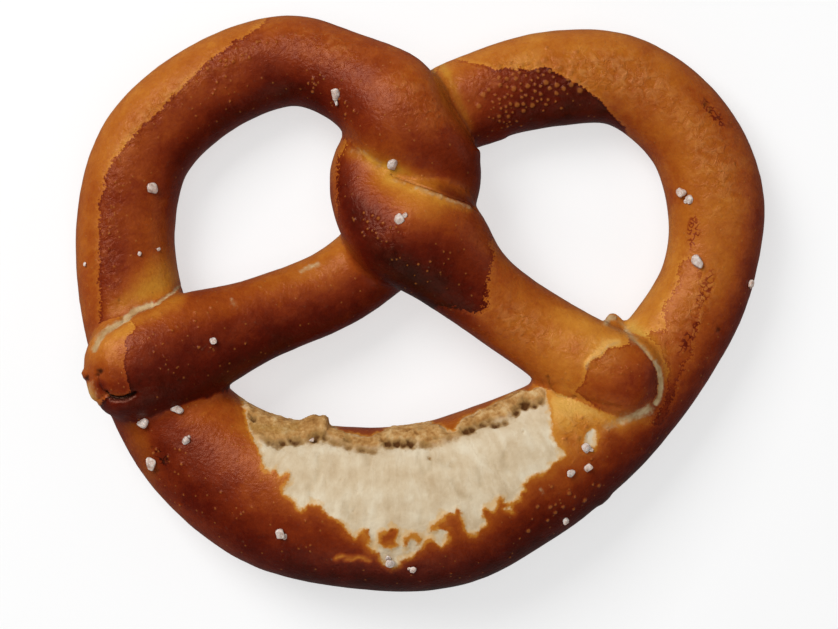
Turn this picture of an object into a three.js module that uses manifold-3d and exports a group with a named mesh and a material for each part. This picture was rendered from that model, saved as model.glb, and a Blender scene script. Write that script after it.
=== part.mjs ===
// A soft pretzel: one rope of dough, knotted, baked and sprinkled with coarse salt.
//
// Millimetres, +Z up. The pretzel lies flat with its thick belly towards -Y and its two loops
// towards +Y. The origin is on the tray, under the middle of the pretzel's box.
//
// The rope is described once, as stations from the tip of the left arm to the tip of the right
// arm. Every section of it is a rounded oval that stands upright across the rope and is cut off
// flat where it meets the tray. A spot on the crust is given as a place along the rope, counted
// in stations, and an angle round it: 0 degrees is the left side of the travel, 90 the top.
import * as THREE from "three";
import { mergeVertices } from "three/addons/utils/BufferGeometryUtils.js";
import Module from "manifold-3d";

const wasm = await Module();
wasm.setup();

// ---- the rope -------------------------------------------------------------------------------

// One station: the middle of the section, its full width and its full height.
const station = (x, y, z, width, height) => ({ x, y, z, width, height });

// In travelling order. The left side of the travel is the inner side of the loops and the belly.
const LEFT_ARM = [
  station(-74.4, -17.4, 16, 20, 16.5),
  station(-62.4, -14.2, 17, 22.5, 17),
  station(-49.4, -9, 15, 23.2, 16.5),
  station(-35.9, -3.8, 11.5, 18.8, 15.5),
  station(-19.9, 2.8, 9, 18.2, 15),
];
const LEFT_OVER = [
  station(-8.4, 11.4, 8.5, 19, 16),
  station(0.4, 22.1, 11, 22.5, 17.5),
  station(1.6, 33.1, 16, 24.8, 19),
  station(-5.4, 43.2, 16.5, 24.8, 19),
  station(-17.4, 51, 11.5, 20.2, 18),
];
const LEFT_LOOP = [
  station(-30.9, 54.5, 7.8, 20.6, 18.5),
  station(-47.9, 48, 7.5, 21.2, 18.5),
  station(-61.9, 35.2, 7.5, 21.8, 19),
  station(-66.5, 17.6, 7.5, 22.4, 19),
  station(-65.1, 0.1, 7.8, 23.2, 19.5),
  station(-59.4, -18.4, 8.2, 24.6, 20),
];
const BELLY = [
  station(-48.9, -32.9, 9.2, 28.8, 23),
  station(-32.9, -42.6, 11, 34, 28),
  station(-14.4, -46.1, 11.8, 36, 30),
  station(4.1, -45.4, 12, 37.4, 30),
  station(19.7, -39, 11.4, 35, 29),
  station(34.1, -30.8, 10, 30.8, 25.5),
];
const RIGHT_LOOP = [
  station(47.6, -20.4, 8.6, 25.4, 22),
  station(58.6, -7, 7.8, 22.2, 19.5),
  station(65.4, 7.1, 7.5, 20.8, 18.5),
  station(66.7, 23.1, 7.5, 22, 19),
  station(60.8, 38.6, 7.5, 21.1, 19),
  station(46.7, 49.8, 7.5, 20.6, 18.5),
  station(30.1, 50.6, 7.5, 21.6, 18.5),
  station(13.5, 46.4, 7.2, 20.4, 18),
];
const RIGHT_OVER = [
  station(1.1, 39.9, 7.5, 21, 17.5),
  station(-7.7, 29.6, 11.5, 24.5, 18.5),
  station(-3.6, 18.6, 17.3, 28, 20.5),
  station(4.3, 11.8, 17, 25, 19.5),
];
const RIGHT_ARM = [
  station(12.6, 3.4, 14.3, 19.2, 17),
  station(24.1, -5.1, 13, 18.2, 16),
  station(36.1, -12.6, 15.8, 19.4, 16),
  station(45.1, -16.5, 17.5, 18.4, 15.5),
  station(52.7, -19, 17, 16, 14),
];
const ROPE = [
  ...LEFT_ARM,
  ...LEFT_OVER,
  ...LEFT_LOOP,
  ...BELLY,
  ...RIGHT_LOOP,
  ...RIGHT_OVER,
  ...RIGHT_ARM,
];
const ROPE_END = ROPE.length - 1;

const ROUNDNESS = 2.25; // exponent of the oval: 2 is an ellipse, more is squarer
const TIP_LENGTH = 0.62; // stations over which an arm rounds off to its tip
const TIP_SHARE = 0.1; // size of the last ring at a tip, as a share of the full size
const SPAN = 0.5; // stations either side of a place that settle the rope's direction there
const INNER_REACH = 0.9; // how near the inside of a bend may come to the bend's own middle
const INNER_CORNER = 6; // how suddenly that limit sets in

// Rings are laid closer together along the belly: each stretch is from, to and its rings.
const STRETCHES = [
  [0, 13, 50],
  [13, 16, 11],
  [16, 21.5, 36],
  [21.5, 25, 12],
  [25, ROPE_END, 50],
];

// Faces round a section, closer together at the torn lip: where each run starts, in degrees,
// and how many faces it has up to the next run.
const FACE_RUNS = [
  [-12, 2],
  [6, 7],
  [55, 11],
  [192, 6],
];

// ---- the split in the belly -----------------------------------------------------------------

const CREVICE = 40; // degrees, the bottom of the tear, between the lip and the crumb
const CREVICE_WIDTH = 6; // degrees to either side
const CREVICE_DEPTH = 2.2; // mm
const LIP = 22; // degrees, the middle of the torn lip that stands proud
const LIP_WIDTH = 11;
const LIP_HEIGHT = 0.9;
const CRUMB_DEPTH = 0.8; // mm that the bare crumb lies below the crust
const RAGGED = 7; // degrees over which the crust steps down to the crumb
const PEAK = { place: 17.35, degrees: 14, height: 2.2, places: 0.13, spread: 12 };

// The ragged edge of the crust on the far side of the split: place and degrees.
const SPLIT_EDGE = [
  [16.0, 25],
  [16.6, 52],
  [16.8, 76],
  [17.1, 76],
  [17.45, 91],
  [18.0, 103],
  [18.36, 122],
  [18.67, 116],
  [18.85, 98],
  [19.0, 92],
  [19.18, 104],
  [19.54, 91],
  [20.1, 92],
  [20.78, 89],
  [20.95, 60],
  [21.15, 30],
];
const SPLIT_FADE = 0.3; // stations over which the split runs out at each end

// ---- the fold at the left arm's end ---------------------------------------------------------

const FOLD = { place: 0.62, degrees: 146, length: 9, width: 1.8, depth: 5 };

// ---- coarse salt ----------------------------------------------------------------------------

// Each grain: place, degrees and length in mm.
const SALT = [
  [8.9, 62, 3.2],
  [8.84, 53, 1.9],
  [12.5, 62, 3.3],
  [6.9, 47, 3.2],
  [32.0, 93, 3.2],
  [25.2, 47, 3.2],
  [25.05, 56, 2.4],
  [24.05, 70, 3.9],
  [23.97, 148, 2.2],
  [15.73, 132, 3.8],
  [15.42, 82, 3.4],
  [15.33, 113, 3.4],
  [15.8, 91, 2.4],
  [17.24, 111, 2.9],
  [21.07, 97, 2.8],
  [20.96, 111, 2.6],
  [20.73, 106, 2.4],
  [20.38, 144, 2.2],
  [18.63, 129, 2],
  [18.41, 122, 2.8],
  [2.27, 94, 2],
];
const GRAIN_PROPORTIONS = [0.5, 0.38, 0.34]; // half-sizes, as shares of a grain's length
const GRAIN_UNEVENNESS = 0.22; // how far a corner may come in, as a share
const GRAIN_SUNK = 0.12; // how far the grain's middle lies under the crust, as a share
const SALT_SEED = 20;

// ---- the rope's line and skin ---------------------------------------------------------------

const UP = new THREE.Vector3(0, 0, 1);
const curveOf = (points) => new THREE.CatmullRomCurve3(points, false, "catmullrom", 0.5);
const middles = curveOf(ROPE.map((s) => new THREE.Vector3(s.x, s.y, s.z)));
const halves = curveOf(ROPE.map((s) => new THREE.Vector3(s.width / 2, s.height / 2, 0)));
const share = (place) => THREE.MathUtils.clamp(place / ROPE_END, 0, 1);

// The rope's direction at a place, and the radius of its bend there, positive to the left.
function course(place) {
  const [before, here, after] = [place - SPAN, place, place + SPAN].map((p) =>
    middles.getPoint(share(p)).setZ(0));
  const into = here.clone().sub(before);
  const out = after.clone().sub(here);
  const turn = Math.atan2(into.x * out.y - into.y * out.x, into.dot(out));
  return {
    along: after.clone().sub(before).normalize(),
    bend: (into.length() + out.length()) / 2 / turn,
  };
}

// How much of its full size the rope has at a place: 1, falling off in a round nose at a tip.
function fullness(place) {
  const fromTip = Math.min(place, ROPE_END - place) / TIP_LENGTH;
  return fromTip >= 1 ? 1 : Math.max(TIP_SHARE, Math.sqrt(1 - (1 - fromTip) ** 2));
}

// The half-width, cut back on the inside of a tight bend so that the rope can't pass itself.
function reach(halfWidth, bend) {
  const crowding = halfWidth / (INNER_REACH * Math.abs(bend));
  return halfWidth / (1 + crowding ** INNER_CORNER) ** (1 / INNER_CORNER);
}

const roundedOff = (value) => Math.sign(value) * Math.abs(value) ** (2 / ROUNDNESS);
const bump = (value, middle, spread) => Math.exp(-(((value - middle) / spread) ** 2));

function splitEdge(place) {
  const next = SPLIT_EDGE.findIndex(([p]) => p > place);
  const [p0, d0] = SPLIT_EDGE[next - 1];
  const [p1, d1] = SPLIT_EDGE[next];
  return d0 + ((d1 - d0) * (place - p0)) / (p1 - p0);
}

// How far the skin stands out, in mm, from the plain rope: the split, its torn lip and its peak.
function relief(place, degrees) {
  const from = SPLIT_EDGE[0][0];
  const to = SPLIT_EDGE.at(-1)[0];
  if (place <= from || place >= to) return 0;
  const { smoothstep } = THREE.MathUtils;
  const fade = smoothstep(Math.min(place - from, to - place), 0, SPLIT_FADE);
  const edge = splitEdge(place);
  const crumb = smoothstep(degrees, LIP, CREVICE) * (1 - smoothstep(degrees, edge - RAGGED, edge));
  const tear = -CREVICE_DEPTH * bump(degrees, CREVICE, CREVICE_WIDTH);
  const lip = LIP_HEIGHT * bump(degrees, LIP, LIP_WIDTH);
  const peak = bump(place, PEAK.place, PEAK.places) * bump(degrees, PEAK.degrees, PEAK.spread);
  return fade * (tear + lip - CRUMB_DEPTH * crumb) + PEAK.height * peak;
}

// The point of the skin at a place and an angle; inside is 0 on the skin, 1 on the middle line.
function skin(place, degrees, inside = 0) {
  const { along, bend } = course(place);
  const left = new THREE.Vector3().crossVectors(UP, along);
  const half = halves.getPoint(share(place));
  const angle = THREE.MathUtils.degToRad(degrees);
  const [across, up] = [Math.cos(angle), Math.sin(angle)];
  const halfWidth = across * bend > 0 ? reach(half.x, bend) : half.x;
  const size = fullness(place);
  const proud = relief(place, degrees);
  const point = middles.getPoint(share(place))
    .addScaledVector(left, (1 - inside) * (roundedOff(across) * halfWidth * size + across * proud))
    .addScaledVector(UP, (1 - inside) * (roundedOff(up) * half.y * size + up * proud));
  point.z = Math.max(point.z, 0);
  return point;
}

// ---- solids ---------------------------------------------------------------------------------

// The geometry with its shared corners merged, so that only positions are left.
function seamless(geometry) {
  geometry.deleteAttribute("normal");
  geometry.deleteAttribute("uv");
  return mergeVertices(geometry, 1e-4);
}

function solidOf(geometry) {
  const merged = seamless(geometry);
  return new wasm.Manifold(new wasm.Mesh({
    numProp: 3,
    vertProperties: new Float32Array(merged.attributes.position.array),
    triVerts: new Uint32Array(merged.index.array),
  }));
}

function geometryOf(solid) {
  const mesh = solid.getMesh();
  const geometry = new THREE.BufferGeometry();
  geometry.setAttribute("position", new THREE.BufferAttribute(mesh.vertProperties, 3));
  geometry.setIndex(new THREE.BufferAttribute(mesh.triVerts, 1));
  geometry.computeVertexNormals();
  return geometry;
}

const FACE_ANGLES = FACE_RUNS.flatMap(([from, faces], i) => {
  const to = i + 1 < FACE_RUNS.length ? FACE_RUNS[i + 1][0] : FACE_RUNS[0][0] + 360;
  return Array.from({ length: faces }, (_, face) => from + ((to - from) * face) / faces);
});

// A stretch of the rope between two places, as a cylinder whose rings are laid along it.
function ropeStretch([from, to, rings]) {
  const sides = FACE_ANGLES.length;
  const tube = new THREE.CylinderGeometry(1, 1, 1, sides, rings);
  const at = tube.attributes.position;
  for (let i = 0; i < at.count; i++) {
    const turn = Math.atan2(-at.getX(i), at.getZ(i)) / (2 * Math.PI);
    const side = (Math.round(turn * sides) + sides) % sides;
    const place = from + (to - from) * (0.5 - at.getY(i));
    const inside = 1 - Math.round(Math.hypot(at.getX(i), at.getZ(i)));
    const point = skin(place, FACE_ANGLES[side], inside);
    at.setXYZ(i, point.x, point.y, point.z);
  }
  return solidOf(tube);
}

// The frame of a spot on the skin: X along the rope, Y round it, Z out of the dough.
function spotFrame(place, degrees) {
  const nearby = 0.05;
  const ahead = skin(place + nearby, degrees).sub(skin(place - nearby, degrees)).normalize();
  const aside = skin(place, degrees + 1).sub(skin(place, degrees - 1));
  const out = new THREE.Vector3().crossVectors(aside, ahead).normalize();
  const round = new THREE.Vector3().crossVectors(out, ahead);
  return new THREE.Matrix4().makeBasis(ahead, round, out).setPosition(skin(place, degrees));
}

// The slit where the arm's end is folded over on itself: a thin lens set into the crust.
function foldSlit({ place, degrees, length, width, depth }) {
  const lens = new THREE.SphereGeometry(0.5, 14, 10);
  lens.scale(length, width, depth);
  return solidOf(lens.applyMatrix4(spotFrame(place, degrees)));
}

let draws = SALT_SEED;
function random() {
  draws += 1;
  const value = Math.sin(draws * 12.9898) * 43758.5453;
  return value - Math.floor(value);
}

// One grain of salt: an uneven crystal, turned at random and partly sunk in the crust.
function grain([place, degrees, length]) {
  const crystal = seamless(new THREE.IcosahedronGeometry(1));
  const at = crystal.attributes.position;
  for (let i = 0; i < at.count; i++) {
    const size = 1 - GRAIN_UNEVENNESS * random();
    at.setXYZ(i, at.getX(i) * size, at.getY(i) * size, at.getZ(i) * size);
  }
  crystal.scale(...GRAIN_PROPORTIONS.map((half) => half * length));
  crystal.rotateZ(2 * Math.PI * random());
  crystal.translate(0, 0, -GRAIN_SUNK * length);
  return solidOf(crystal.applyMatrix4(spotFrame(place, degrees)));
}

const join = (joined, piece) => joined.add(piece);
const rope = STRETCHES.map(ropeStretch).reduce(join);
const salted = SALT.map(grain).reduce(join, rope.subtract(foldSlit(FOLD)));

// ---- the model ------------------------------------------------------------------------------

const crust = new THREE.MeshStandardMaterial({ color: "#8a3d14", roughness: 0.45, metalness: 0 });
const pretzel = new THREE.Mesh(geometryOf(salted), crust);
pretzel.name = "pretzel";

const model = new THREE.Group();
model.add(pretzel);
export default model;
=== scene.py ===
import math
import random
from types import SimpleNamespace

import bmesh
import bpy
import numpy as np
from mathutils import Matrix, Vector, noise
from mathutils.bvhtree import BVHTree
from mathutils.kdtree import KDTree


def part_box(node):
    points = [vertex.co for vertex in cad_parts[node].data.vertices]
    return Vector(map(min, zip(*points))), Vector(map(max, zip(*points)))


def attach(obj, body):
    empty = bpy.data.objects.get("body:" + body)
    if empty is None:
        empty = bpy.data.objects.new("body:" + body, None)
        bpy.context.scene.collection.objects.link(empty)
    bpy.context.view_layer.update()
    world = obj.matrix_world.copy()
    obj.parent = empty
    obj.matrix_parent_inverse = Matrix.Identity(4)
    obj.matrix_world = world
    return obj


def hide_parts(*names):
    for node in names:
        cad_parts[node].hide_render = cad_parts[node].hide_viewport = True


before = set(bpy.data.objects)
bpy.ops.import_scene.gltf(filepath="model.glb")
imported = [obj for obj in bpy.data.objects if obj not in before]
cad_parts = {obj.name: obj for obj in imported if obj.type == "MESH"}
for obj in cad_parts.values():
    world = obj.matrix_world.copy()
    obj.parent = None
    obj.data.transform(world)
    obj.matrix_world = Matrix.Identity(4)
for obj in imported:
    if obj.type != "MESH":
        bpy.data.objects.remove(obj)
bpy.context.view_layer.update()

MM = 0.001

# ---- camera and lights ----------------------------------------------------------------------

CAMERA_HEIGHT = 0.52
CAMERA_OVER = (-0.00024, -0.00277)
SENSOR_WIDTH = 36.0
VIEW_WIDTH = 0.18905  # width of the view where the dough is half as high as it gets
VIEW_LEVEL = 0.009
VIEW_COLUMNS, VIEW_ROWS = 838, 629
PIXEL = VIEW_WIDTH / VIEW_COLUMNS


def aimed(thing, target):
    direction = Vector(target) - thing.location
    thing.rotation_euler = direction.to_track_quat("-Z", "Y").to_euler()


def put_camera():
    data = bpy.data.cameras.new("camera")
    data.sensor_width = SENSOR_WIDTH
    data.lens = SENSOR_WIDTH * (CAMERA_HEIGHT - VIEW_LEVEL) / VIEW_WIDTH
    camera = bpy.data.objects.new("camera", data)
    camera.location = (*CAMERA_OVER, CAMERA_HEIGHT)
    bpy.context.scene.collection.objects.link(camera)
    bpy.context.scene.camera = camera


def softbox(name, place, size, watts, colour=(1, 1, 1)):
    data = bpy.data.lights.new(name, "AREA")
    data.shape = "SQUARE"
    data.size = size
    data.energy = watts
    data.color = colour
    light = bpy.data.objects.new(name, data)
    light.location = place
    aimed(light, (0, 0, 0))
    bpy.context.scene.collection.objects.link(light)
    return light


def put_lights():
    softbox("window", (-0.5, 0.5, 0.75), 0.55, 8.7)
    overhead = softbox("overhead", (0, 0, 1.1), 0.9, 3.3)
    overhead.visible_glossy = False
    softbox("right_fill", (0.85, 0.1, 0.45), 0.6, 0.9)
    softbox("front_fill", (-0.05, -0.85, 0.5), 0.6, 0.9)
    world = bpy.data.worlds.new("room")
    world.use_nodes = True
    world.node_tree.nodes["Background"].inputs["Color"].default_value = (1, 1, 1, 1)
    world.node_tree.nodes["Background"].inputs["Strength"].default_value = 0.1
    bpy.context.scene.world = world
    bpy.context.scene.view_settings.view_transform = "Standard"


# ---- materials: helpers ---------------------------------------------------------------------


def linear(hex_colour):
    """An sRGB colour such as "#a0522d" as linear red, green, blue and alpha."""
    parts = [int(hex_colour[i:i + 2], 16) / 255 for i in (1, 3, 5)]
    return (*(p / 12.92 if p <= 0.04045 else ((p + 0.055) / 1.055) ** 2.4 for p in parts), 1)


def add(tree, kind, inputs=None, out=0, stops=(), **settings):
    """Adds a node and gives one of its outputs. Inputs are values, or outputs of other nodes,
    which are linked. Stops are a colour ramp's positions and hex colours."""
    node = tree.nodes.new("ShaderNode" + kind)
    for name, value in settings.items():
        setattr(node, name, value)
    for socket, value in (inputs or {}).items():
        if isinstance(value, bpy.types.NodeSocket):
            tree.links.new(value, node.inputs[socket])
        else:
            node.inputs[socket].default_value = value
    for index, (position, colour) in enumerate(stops):
        elements = node.color_ramp.elements
        element = elements[index] if index < len(elements) else elements.new(position)
        element.position = position
        element.color = linear(colour)
    return node.outputs[out]


SMOOTH = {"interpolation_type": "SMOOTHSTEP"}
COLOURS = {"data_type": "RGBA", "out": 2}


def new_material(name):
    material = bpy.data.materials.new(name)
    material.use_nodes = True
    tree = material.node_tree
    shader = tree.nodes["Principled BSDF"]
    return material, tree, shader


# ---- the rope of dough ----------------------------------------------------------------------

# Stations in travelling order: middle x, y, z, full width and full height, in mm.
LEFT_ARM = (
    (-74.4, -17.4, 16, 20, 16.5),
    (-62.4, -14.2, 17, 22.5, 17),
    (-49.4, -9, 15, 23.2, 16.5),
    (-35.9, -3.8, 11.5, 18.8, 15.5),
    (-19.9, 2.8, 9, 18.2, 15),
)
LEFT_OVER = (  # the left strand over the right one
    (-8.4, 11.4, 8.5, 19, 16),
    (0.4, 22.1, 11, 22.5, 17.5),
    (1.6, 33.1, 16, 24.8, 19),
    (-5.4, 43.2, 16.5, 24.8, 19),
    (-17.4, 51, 11.5, 20.2, 18),
)
LEFT_LOOP = (
    (-30.9, 54.5, 7.8, 20.6, 18.5),
    (-47.9, 48, 7.5, 21.2, 18.5),
    (-61.9, 35.2, 7.5, 21.8, 19),
    (-66.5, 17.6, 7.5, 22.4, 19),
    (-65.1, 0.1, 7.8, 23.2, 19.5),
    (-59.4, -18.4, 8.2, 24.6, 20),
)
BELLY = (
    (-48.9, -32.9, 9.2, 28.8, 23),
    (-32.9, -42.6, 11, 34, 28),
    (-14.4, -46.1, 11.8, 36, 30),
    (4.1, -45.4, 12, 37.4, 30),
    (19.7, -39, 11.4, 35, 29),
    (34.1, -30.8, 10, 30.8, 25.5),
)
RIGHT_LOOP = (
    (47.6, -20.4, 8.6, 25.4, 22),
    (58.6, -7, 7.8, 22.2, 19.5),
    (65.4, 7.1, 7.5, 20.8, 18.5),
    (66.7, 23.1, 7.5, 22, 19),
    (60.8, 38.6, 7.5, 21.1, 19),
    (46.7, 49.8, 7.5, 20.6, 18.5),
    (30.1, 50.6, 7.5, 21.6, 18.5),
    (13.5, 46.4, 7.2, 20.4, 18),
)
RIGHT_OVER = (  # the right strand over the left one
    (1.1, 39.9, 7.5, 21, 17.5),
    (-7.7, 29.6, 11.5, 24.5, 18.5),
    (-3.6, 18.6, 17.3, 28, 20.5),
    (4.3, 11.8, 17, 25, 19.5),
)
RIGHT_ARM = (
    (12.6, 3.4, 14.3, 19.2, 17),
    (24.1, -5.1, 13, 18.2, 16),
    (36.1, -12.6, 15.8, 19.4, 16),
    (45.1, -16.5, 17.5, 18.4, 15.5),
    (52.7, -19, 17, 16, 14),
)
ROPE = np.array(
    LEFT_ARM + LEFT_OVER + LEFT_LOOP + BELLY + RIGHT_LOOP + RIGHT_OVER + RIGHT_ARM
) * MM
ROPE_END = len(ROPE) - 1

ROUNDNESS = 2.25  # exponent of the oval section
TIP_LENGTH = 0.62  # stations over which an arm rounds off to its tip
TIP_SHARE = 0.1
SPAN = 0.5  # stations either side of a place that settle the rope's direction there
INNER_REACH = 0.9  # how near the inside of a bend may come to the bend's own middle
INNER_CORNER = 6
# Where the left strand is slimmer on its right, over the right loop's end.
SLIMMER = {"place": 7.4, "places": 0.5, "by": 3.8 * MM}

STATION_MM = 19.0  # about how far apart two stations are
DEGREE_MM = 0.28  # about how far a degree takes you round the belly


def on_curve(points, place):
    """The smooth curve through the points, at places counted in points."""
    padded = np.vstack([2 * points[0] - points[1], points, 2 * points[-1] - points[-2]])
    place = np.clip(place, 0, len(points) - 1)
    start = np.minimum(place.astype(int), len(points) - 2)
    w = (place - start)[:, None]
    before, here, there, beyond = (padded[start + k] for k in range(4))
    leave, arrive = (there - before) / 2, (beyond - here) / 2
    cubic = (2 * here - 2 * there + leave + arrive) * w ** 3
    square = (3 * there - 3 * here - 2 * leave - arrive) * w ** 2
    return cubic + square + leave * w + here


def rounded_off(value):
    return np.sign(value) * np.abs(value) ** (2 / ROUNDNESS)


def skin(place, degrees):
    """Points of the plain rope's skin, in metres."""
    here, before, after = (on_curve(ROPE[:, :2], place + d) for d in (0, -SPAN, SPAN))
    into, out = here - before, after - here
    cross = into[:, 0] * out[:, 1] - into[:, 1] * out[:, 0]
    turn = np.arctan2(cross, (into * out).sum(1))
    steps = np.linalg.norm(into, axis=1) + np.linalg.norm(out, axis=1)
    bend = steps / 2 / np.where(np.abs(turn) < 1e-6, 1e-6, turn)
    along = (after - before) / np.linalg.norm(after - before, axis=1)[:, None]
    left = np.stack([-along[:, 1], along[:, 0]], 1)
    half = on_curve(ROPE[:, 3:5] / 2, place)
    across, up = np.cos(np.radians(degrees)), np.sin(np.radians(degrees))
    crowding = half[:, 0] / (INNER_REACH * np.abs(bend))
    reach = half[:, 0] / (1 + crowding ** INNER_CORNER) ** (1 / INNER_CORNER)
    width = np.where(across * bend > 0, reach, half[:, 0])
    slimmer = SLIMMER["by"] * nearby(place, SLIMMER["place"], SLIMMER["places"])
    width -= slimmer * np.clip(-across, 0, 1)
    from_tip = np.clip(np.minimum(place, ROPE_END - place) / TIP_LENGTH, 0, 1)
    size = np.maximum(TIP_SHARE, np.sqrt(1 - (1 - from_tip) ** 2))
    middle = on_curve(ROPE[:, :3], place)
    flat = middle[:, :2] + left * (rounded_off(across) * width * size)[:, None]
    height = middle[:, 2] + rounded_off(up) * half[:, 1] * size
    return np.column_stack([flat, np.maximum(height, 0)])


RINGS = 860
SIDES = 60


def rope_tube():
    """The rope as a cylinder cut into rings, each laid across the rope's line."""
    bm = bmesh.new()
    bmesh.ops.create_cone(bm, cap_ends=True, segments=SIDES, radius1=1, radius2=1, depth=1)
    lengthwise = [e for e in bm.edges if abs(e.verts[0].co.z - e.verts[1].co.z) > 0.5]
    bmesh.ops.subdivide_edges(bm, edges=lengthwise, cuts=RINGS - 1, use_grid_fill=True)
    at = np.array([v.co for v in bm.verts])
    place = (at[:, 2] + 0.5) * ROPE_END
    degrees = np.degrees(np.arctan2(at[:, 1], at[:, 0])) % 360
    place_layer = bm.verts.layers.float.new("place")
    round_layer = bm.verts.layers.float.new("degrees")
    for vert, point, p, d in zip(bm.verts, skin(place, degrees), place, degrees):
        vert.co = point
        vert[place_layer] = p
        vert[round_layer] = d
    bmesh.ops.recalc_face_normals(bm, faces=bm.faces)
    return bm


# ---- the torn split, as seen from above -----------------------------------------------------

# Where the crust tore open: its upper bound, past the belly's inner side where the tear reaches
# over it, then the ragged crust below.
SPLIT = (
    (241, 396), (252, 404), (260, 410), (268, 412), (277, 411), (288, 410), (300, 410),
    (328, 404), (330, 424), (338, 431), (347, 434), (362, 437), (368, 438), (374, 436),
    (381, 433), (388, 429), (392, 418), (428, 416), (433, 426), (440, 426), (447, 430),
    (455, 430), (457, 425), (462, 420), (468, 417), (475, 413), (487, 408), (492, 405),
    (498, 402), (505, 399), (511, 394), (520, 391), (530, 391), (541, 386), (546, 391),
    (548, 402), (551, 412), (552, 424), (553, 434), (556, 441), (559, 447), (564, 450),
    (566, 455), (558, 460), (553, 463), (550, 468), (545, 472), (535, 475), (530, 479),
    (524, 484), (521, 491), (519, 499), (514, 502), (509, 504), (505, 503), (504, 499),
    (501, 496), (498, 498), (496, 505), (493, 511), (489, 510), (485, 508), (482, 510),
    (483, 516), (488, 524), (480, 529), (476, 534), (468, 533), (465, 528), (464, 520),
    (459, 510), (457, 509), (454, 513), (448, 512), (443, 514), (442, 519), (436, 522),
    (431, 526), (431, 531), (438, 530), (446, 532), (449, 538), (446, 543), (441, 546),
    (436, 543), (430, 538), (425, 541), (421, 547), (417, 552), (412, 557), (404, 559),
    (400, 561), (400, 564), (396, 567), (390, 567), (384, 564), (381, 558), (379, 552),
    (372, 550), (368, 546), (371, 541), (370, 535), (368, 530), (364, 529), (360, 533),
    (356, 538), (351, 536), (344, 525), (335, 518), (330, 516),
    (324, 511), (321, 505), (313, 505), (308, 504), (305, 508), (301, 510), (298, 508),
    (294, 502), (288, 497), (284, 494), (283, 488), (286, 483), (290, 479), (290, 473),
    (286, 473), (283, 475), (279, 476), (275, 470), (270, 472), (264, 470), (262, 462),
    (261, 455), (258, 447), (254, 440), (249, 430), (247, 420), (245, 412), (243, 404),
)
# Scraps of bare crumb beyond it, and islands of crust left on the crumb.
SCRAPS = (
    ((586, 433), (593, 429), (597, 434), (597, 446), (590, 449), (584, 443)),
    ((514, 488), (521, 484), (525, 489), (519, 495)), ((504, 509), (511, 505), (512, 512)),
)
ISLANDS = (
    (
        (378, 533), (388, 531), (391, 528), (398, 530), (399, 536), (396, 541), (398, 546),
        (392, 549), (384, 548), (379, 543),
    ),
    (
        (404, 546), (404, 538), (410, 533), (417, 534), (422, 539), (421, 545), (417, 544),
        (415, 540), (411, 539), (408, 542), (407, 547),
    ),
)
# The line along which lip and crumb part: a sunk crevice, painted brown there as shade.
CREVICE = (
    (244, 431), (262, 437), (270, 441), (282, 442), (294, 441), (304, 439), (316, 438),
    (326, 439), (336, 444), (348, 447), (360, 448), (372, 450), (384, 446), (397, 444),
    (411, 444), (424, 446), (440, 442), (452, 437), (464, 432), (477, 427), (490, 423),
    (504, 420), (514, 412), (524, 404), (534, 403), (549, 399),
)
CREVICE_WIDTH = 1.1  # mm to either side
CREVICE_DEPTH = 0.55
TORN_LOW = -14  # degrees: how far down the belly's inner side the tear reaches
TORN_FAR = 180  # and how far round to its outer side
LIP_MIDDLE = 22  # degrees
LIP_WIDTH = 11
LIP_HEIGHT = 0.9
CRUMB_DEPTH = 0.5
PEAK = {"place": 17.38, "degrees": 12, "height": 2.5, "rise": 0.3, "fall": 0.13, "spread": 13}
# Holes in the crevice and the crumb: column, row, half-width and half-height in columns, and
# depth as a share of PIT_DEPTH, which also sets how dark they are painted as shade.
PITS = (
    (254, 419, 3.4, 2.6, 0.9), (268, 442, 2.4, 3.5, 0.4), (277, 445, 8, 4, 0.4),
    (283, 442, 4, 2.6, 0.75), (290, 439, 2.5, 2.5, 0.6), (297, 441, 7, 3, 0.55),
    (316, 438, 5, 4, 0.5), (324, 438, 4, 3, 0.5), (318, 426, 3, 2.6, 0.4),
    (347, 440, 5, 3.4, 0.5), (349, 447, 4, 2, 0.35), (362, 449, 4, 2, 0.35),
    (374, 450, 6, 2, 0.3), (387, 442, 5, 2.8, 0.8), (396, 443, 4.5, 3, 0.85),
    (403, 444, 4, 2.5, 0.55), (411, 443, 4.2, 4, 1), (422, 444, 6, 2.5, 0.35),
    (434, 438, 5, 2.6, 0.42), (420, 432, 7, 2.6, 0.3), (449, 430, 6, 3, 0.5),
    (465, 430, 5, 2.8, 0.9), (471, 428, 3.4, 2.6, 0.7), (481, 424, 7, 2.6, 0.45),
    (488, 419, 5, 2.6, 0.5), (495, 424, 6, 3, 0.7), (504, 421, 4, 2.4, 0.45),
    (492, 405, 4, 3.4, 0.55), (500, 400, 5, 2.4, 0.4), (511, 399, 2.6, 1.8, 0.3),
    (516, 411, 3.6, 5, 0.7), (524, 403, 5, 4, 1), (534, 405, 4, 2.4, 0.7),
    (541, 400, 6, 3.6, 0.45), (545, 392, 3, 6, 0.4), (429, 457, 1.8, 2.2, 0.6),
    (523, 431, 1.3, 2, 0.4), (316, 468, 1.6, 1.6, 0.3), (353, 511, 1.2, 2, 0.3),
    (356, 492, 1.2, 1.6, 0.3), (451, 463, 3, 2, 0.25), (341, 479, 2, 3, 0.25),
)
PIT_DEPTH = 0.9
# Shallow folds in the crumb, painted greyer and darker as shade.
FOLDS = (
    ((418, 451), (419, 461), (424, 472)), ((452, 481), (456, 489), (463, 496), (472, 499)),
    ((427, 451), (431, 460), (429, 469)), ((308, 486), (309, 496), (312, 501)),
    ((345, 503), (347, 512), (351, 519)), ((478, 468), (480, 476), (481, 485)),
    ((505, 452), (503, 462), (508, 470)), ((438, 460), (447, 466), (455, 465)),
    ((366, 452), (368, 463)), ((317, 452), (319, 468), (315, 481)), ((421, 512), (420, 524)),
)
FOLD_WIDTH = 0.55
FOLD_DEPTH = 0.16

# ---- patches, cracks and blisters on the crust ------------------------------------------------

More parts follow.
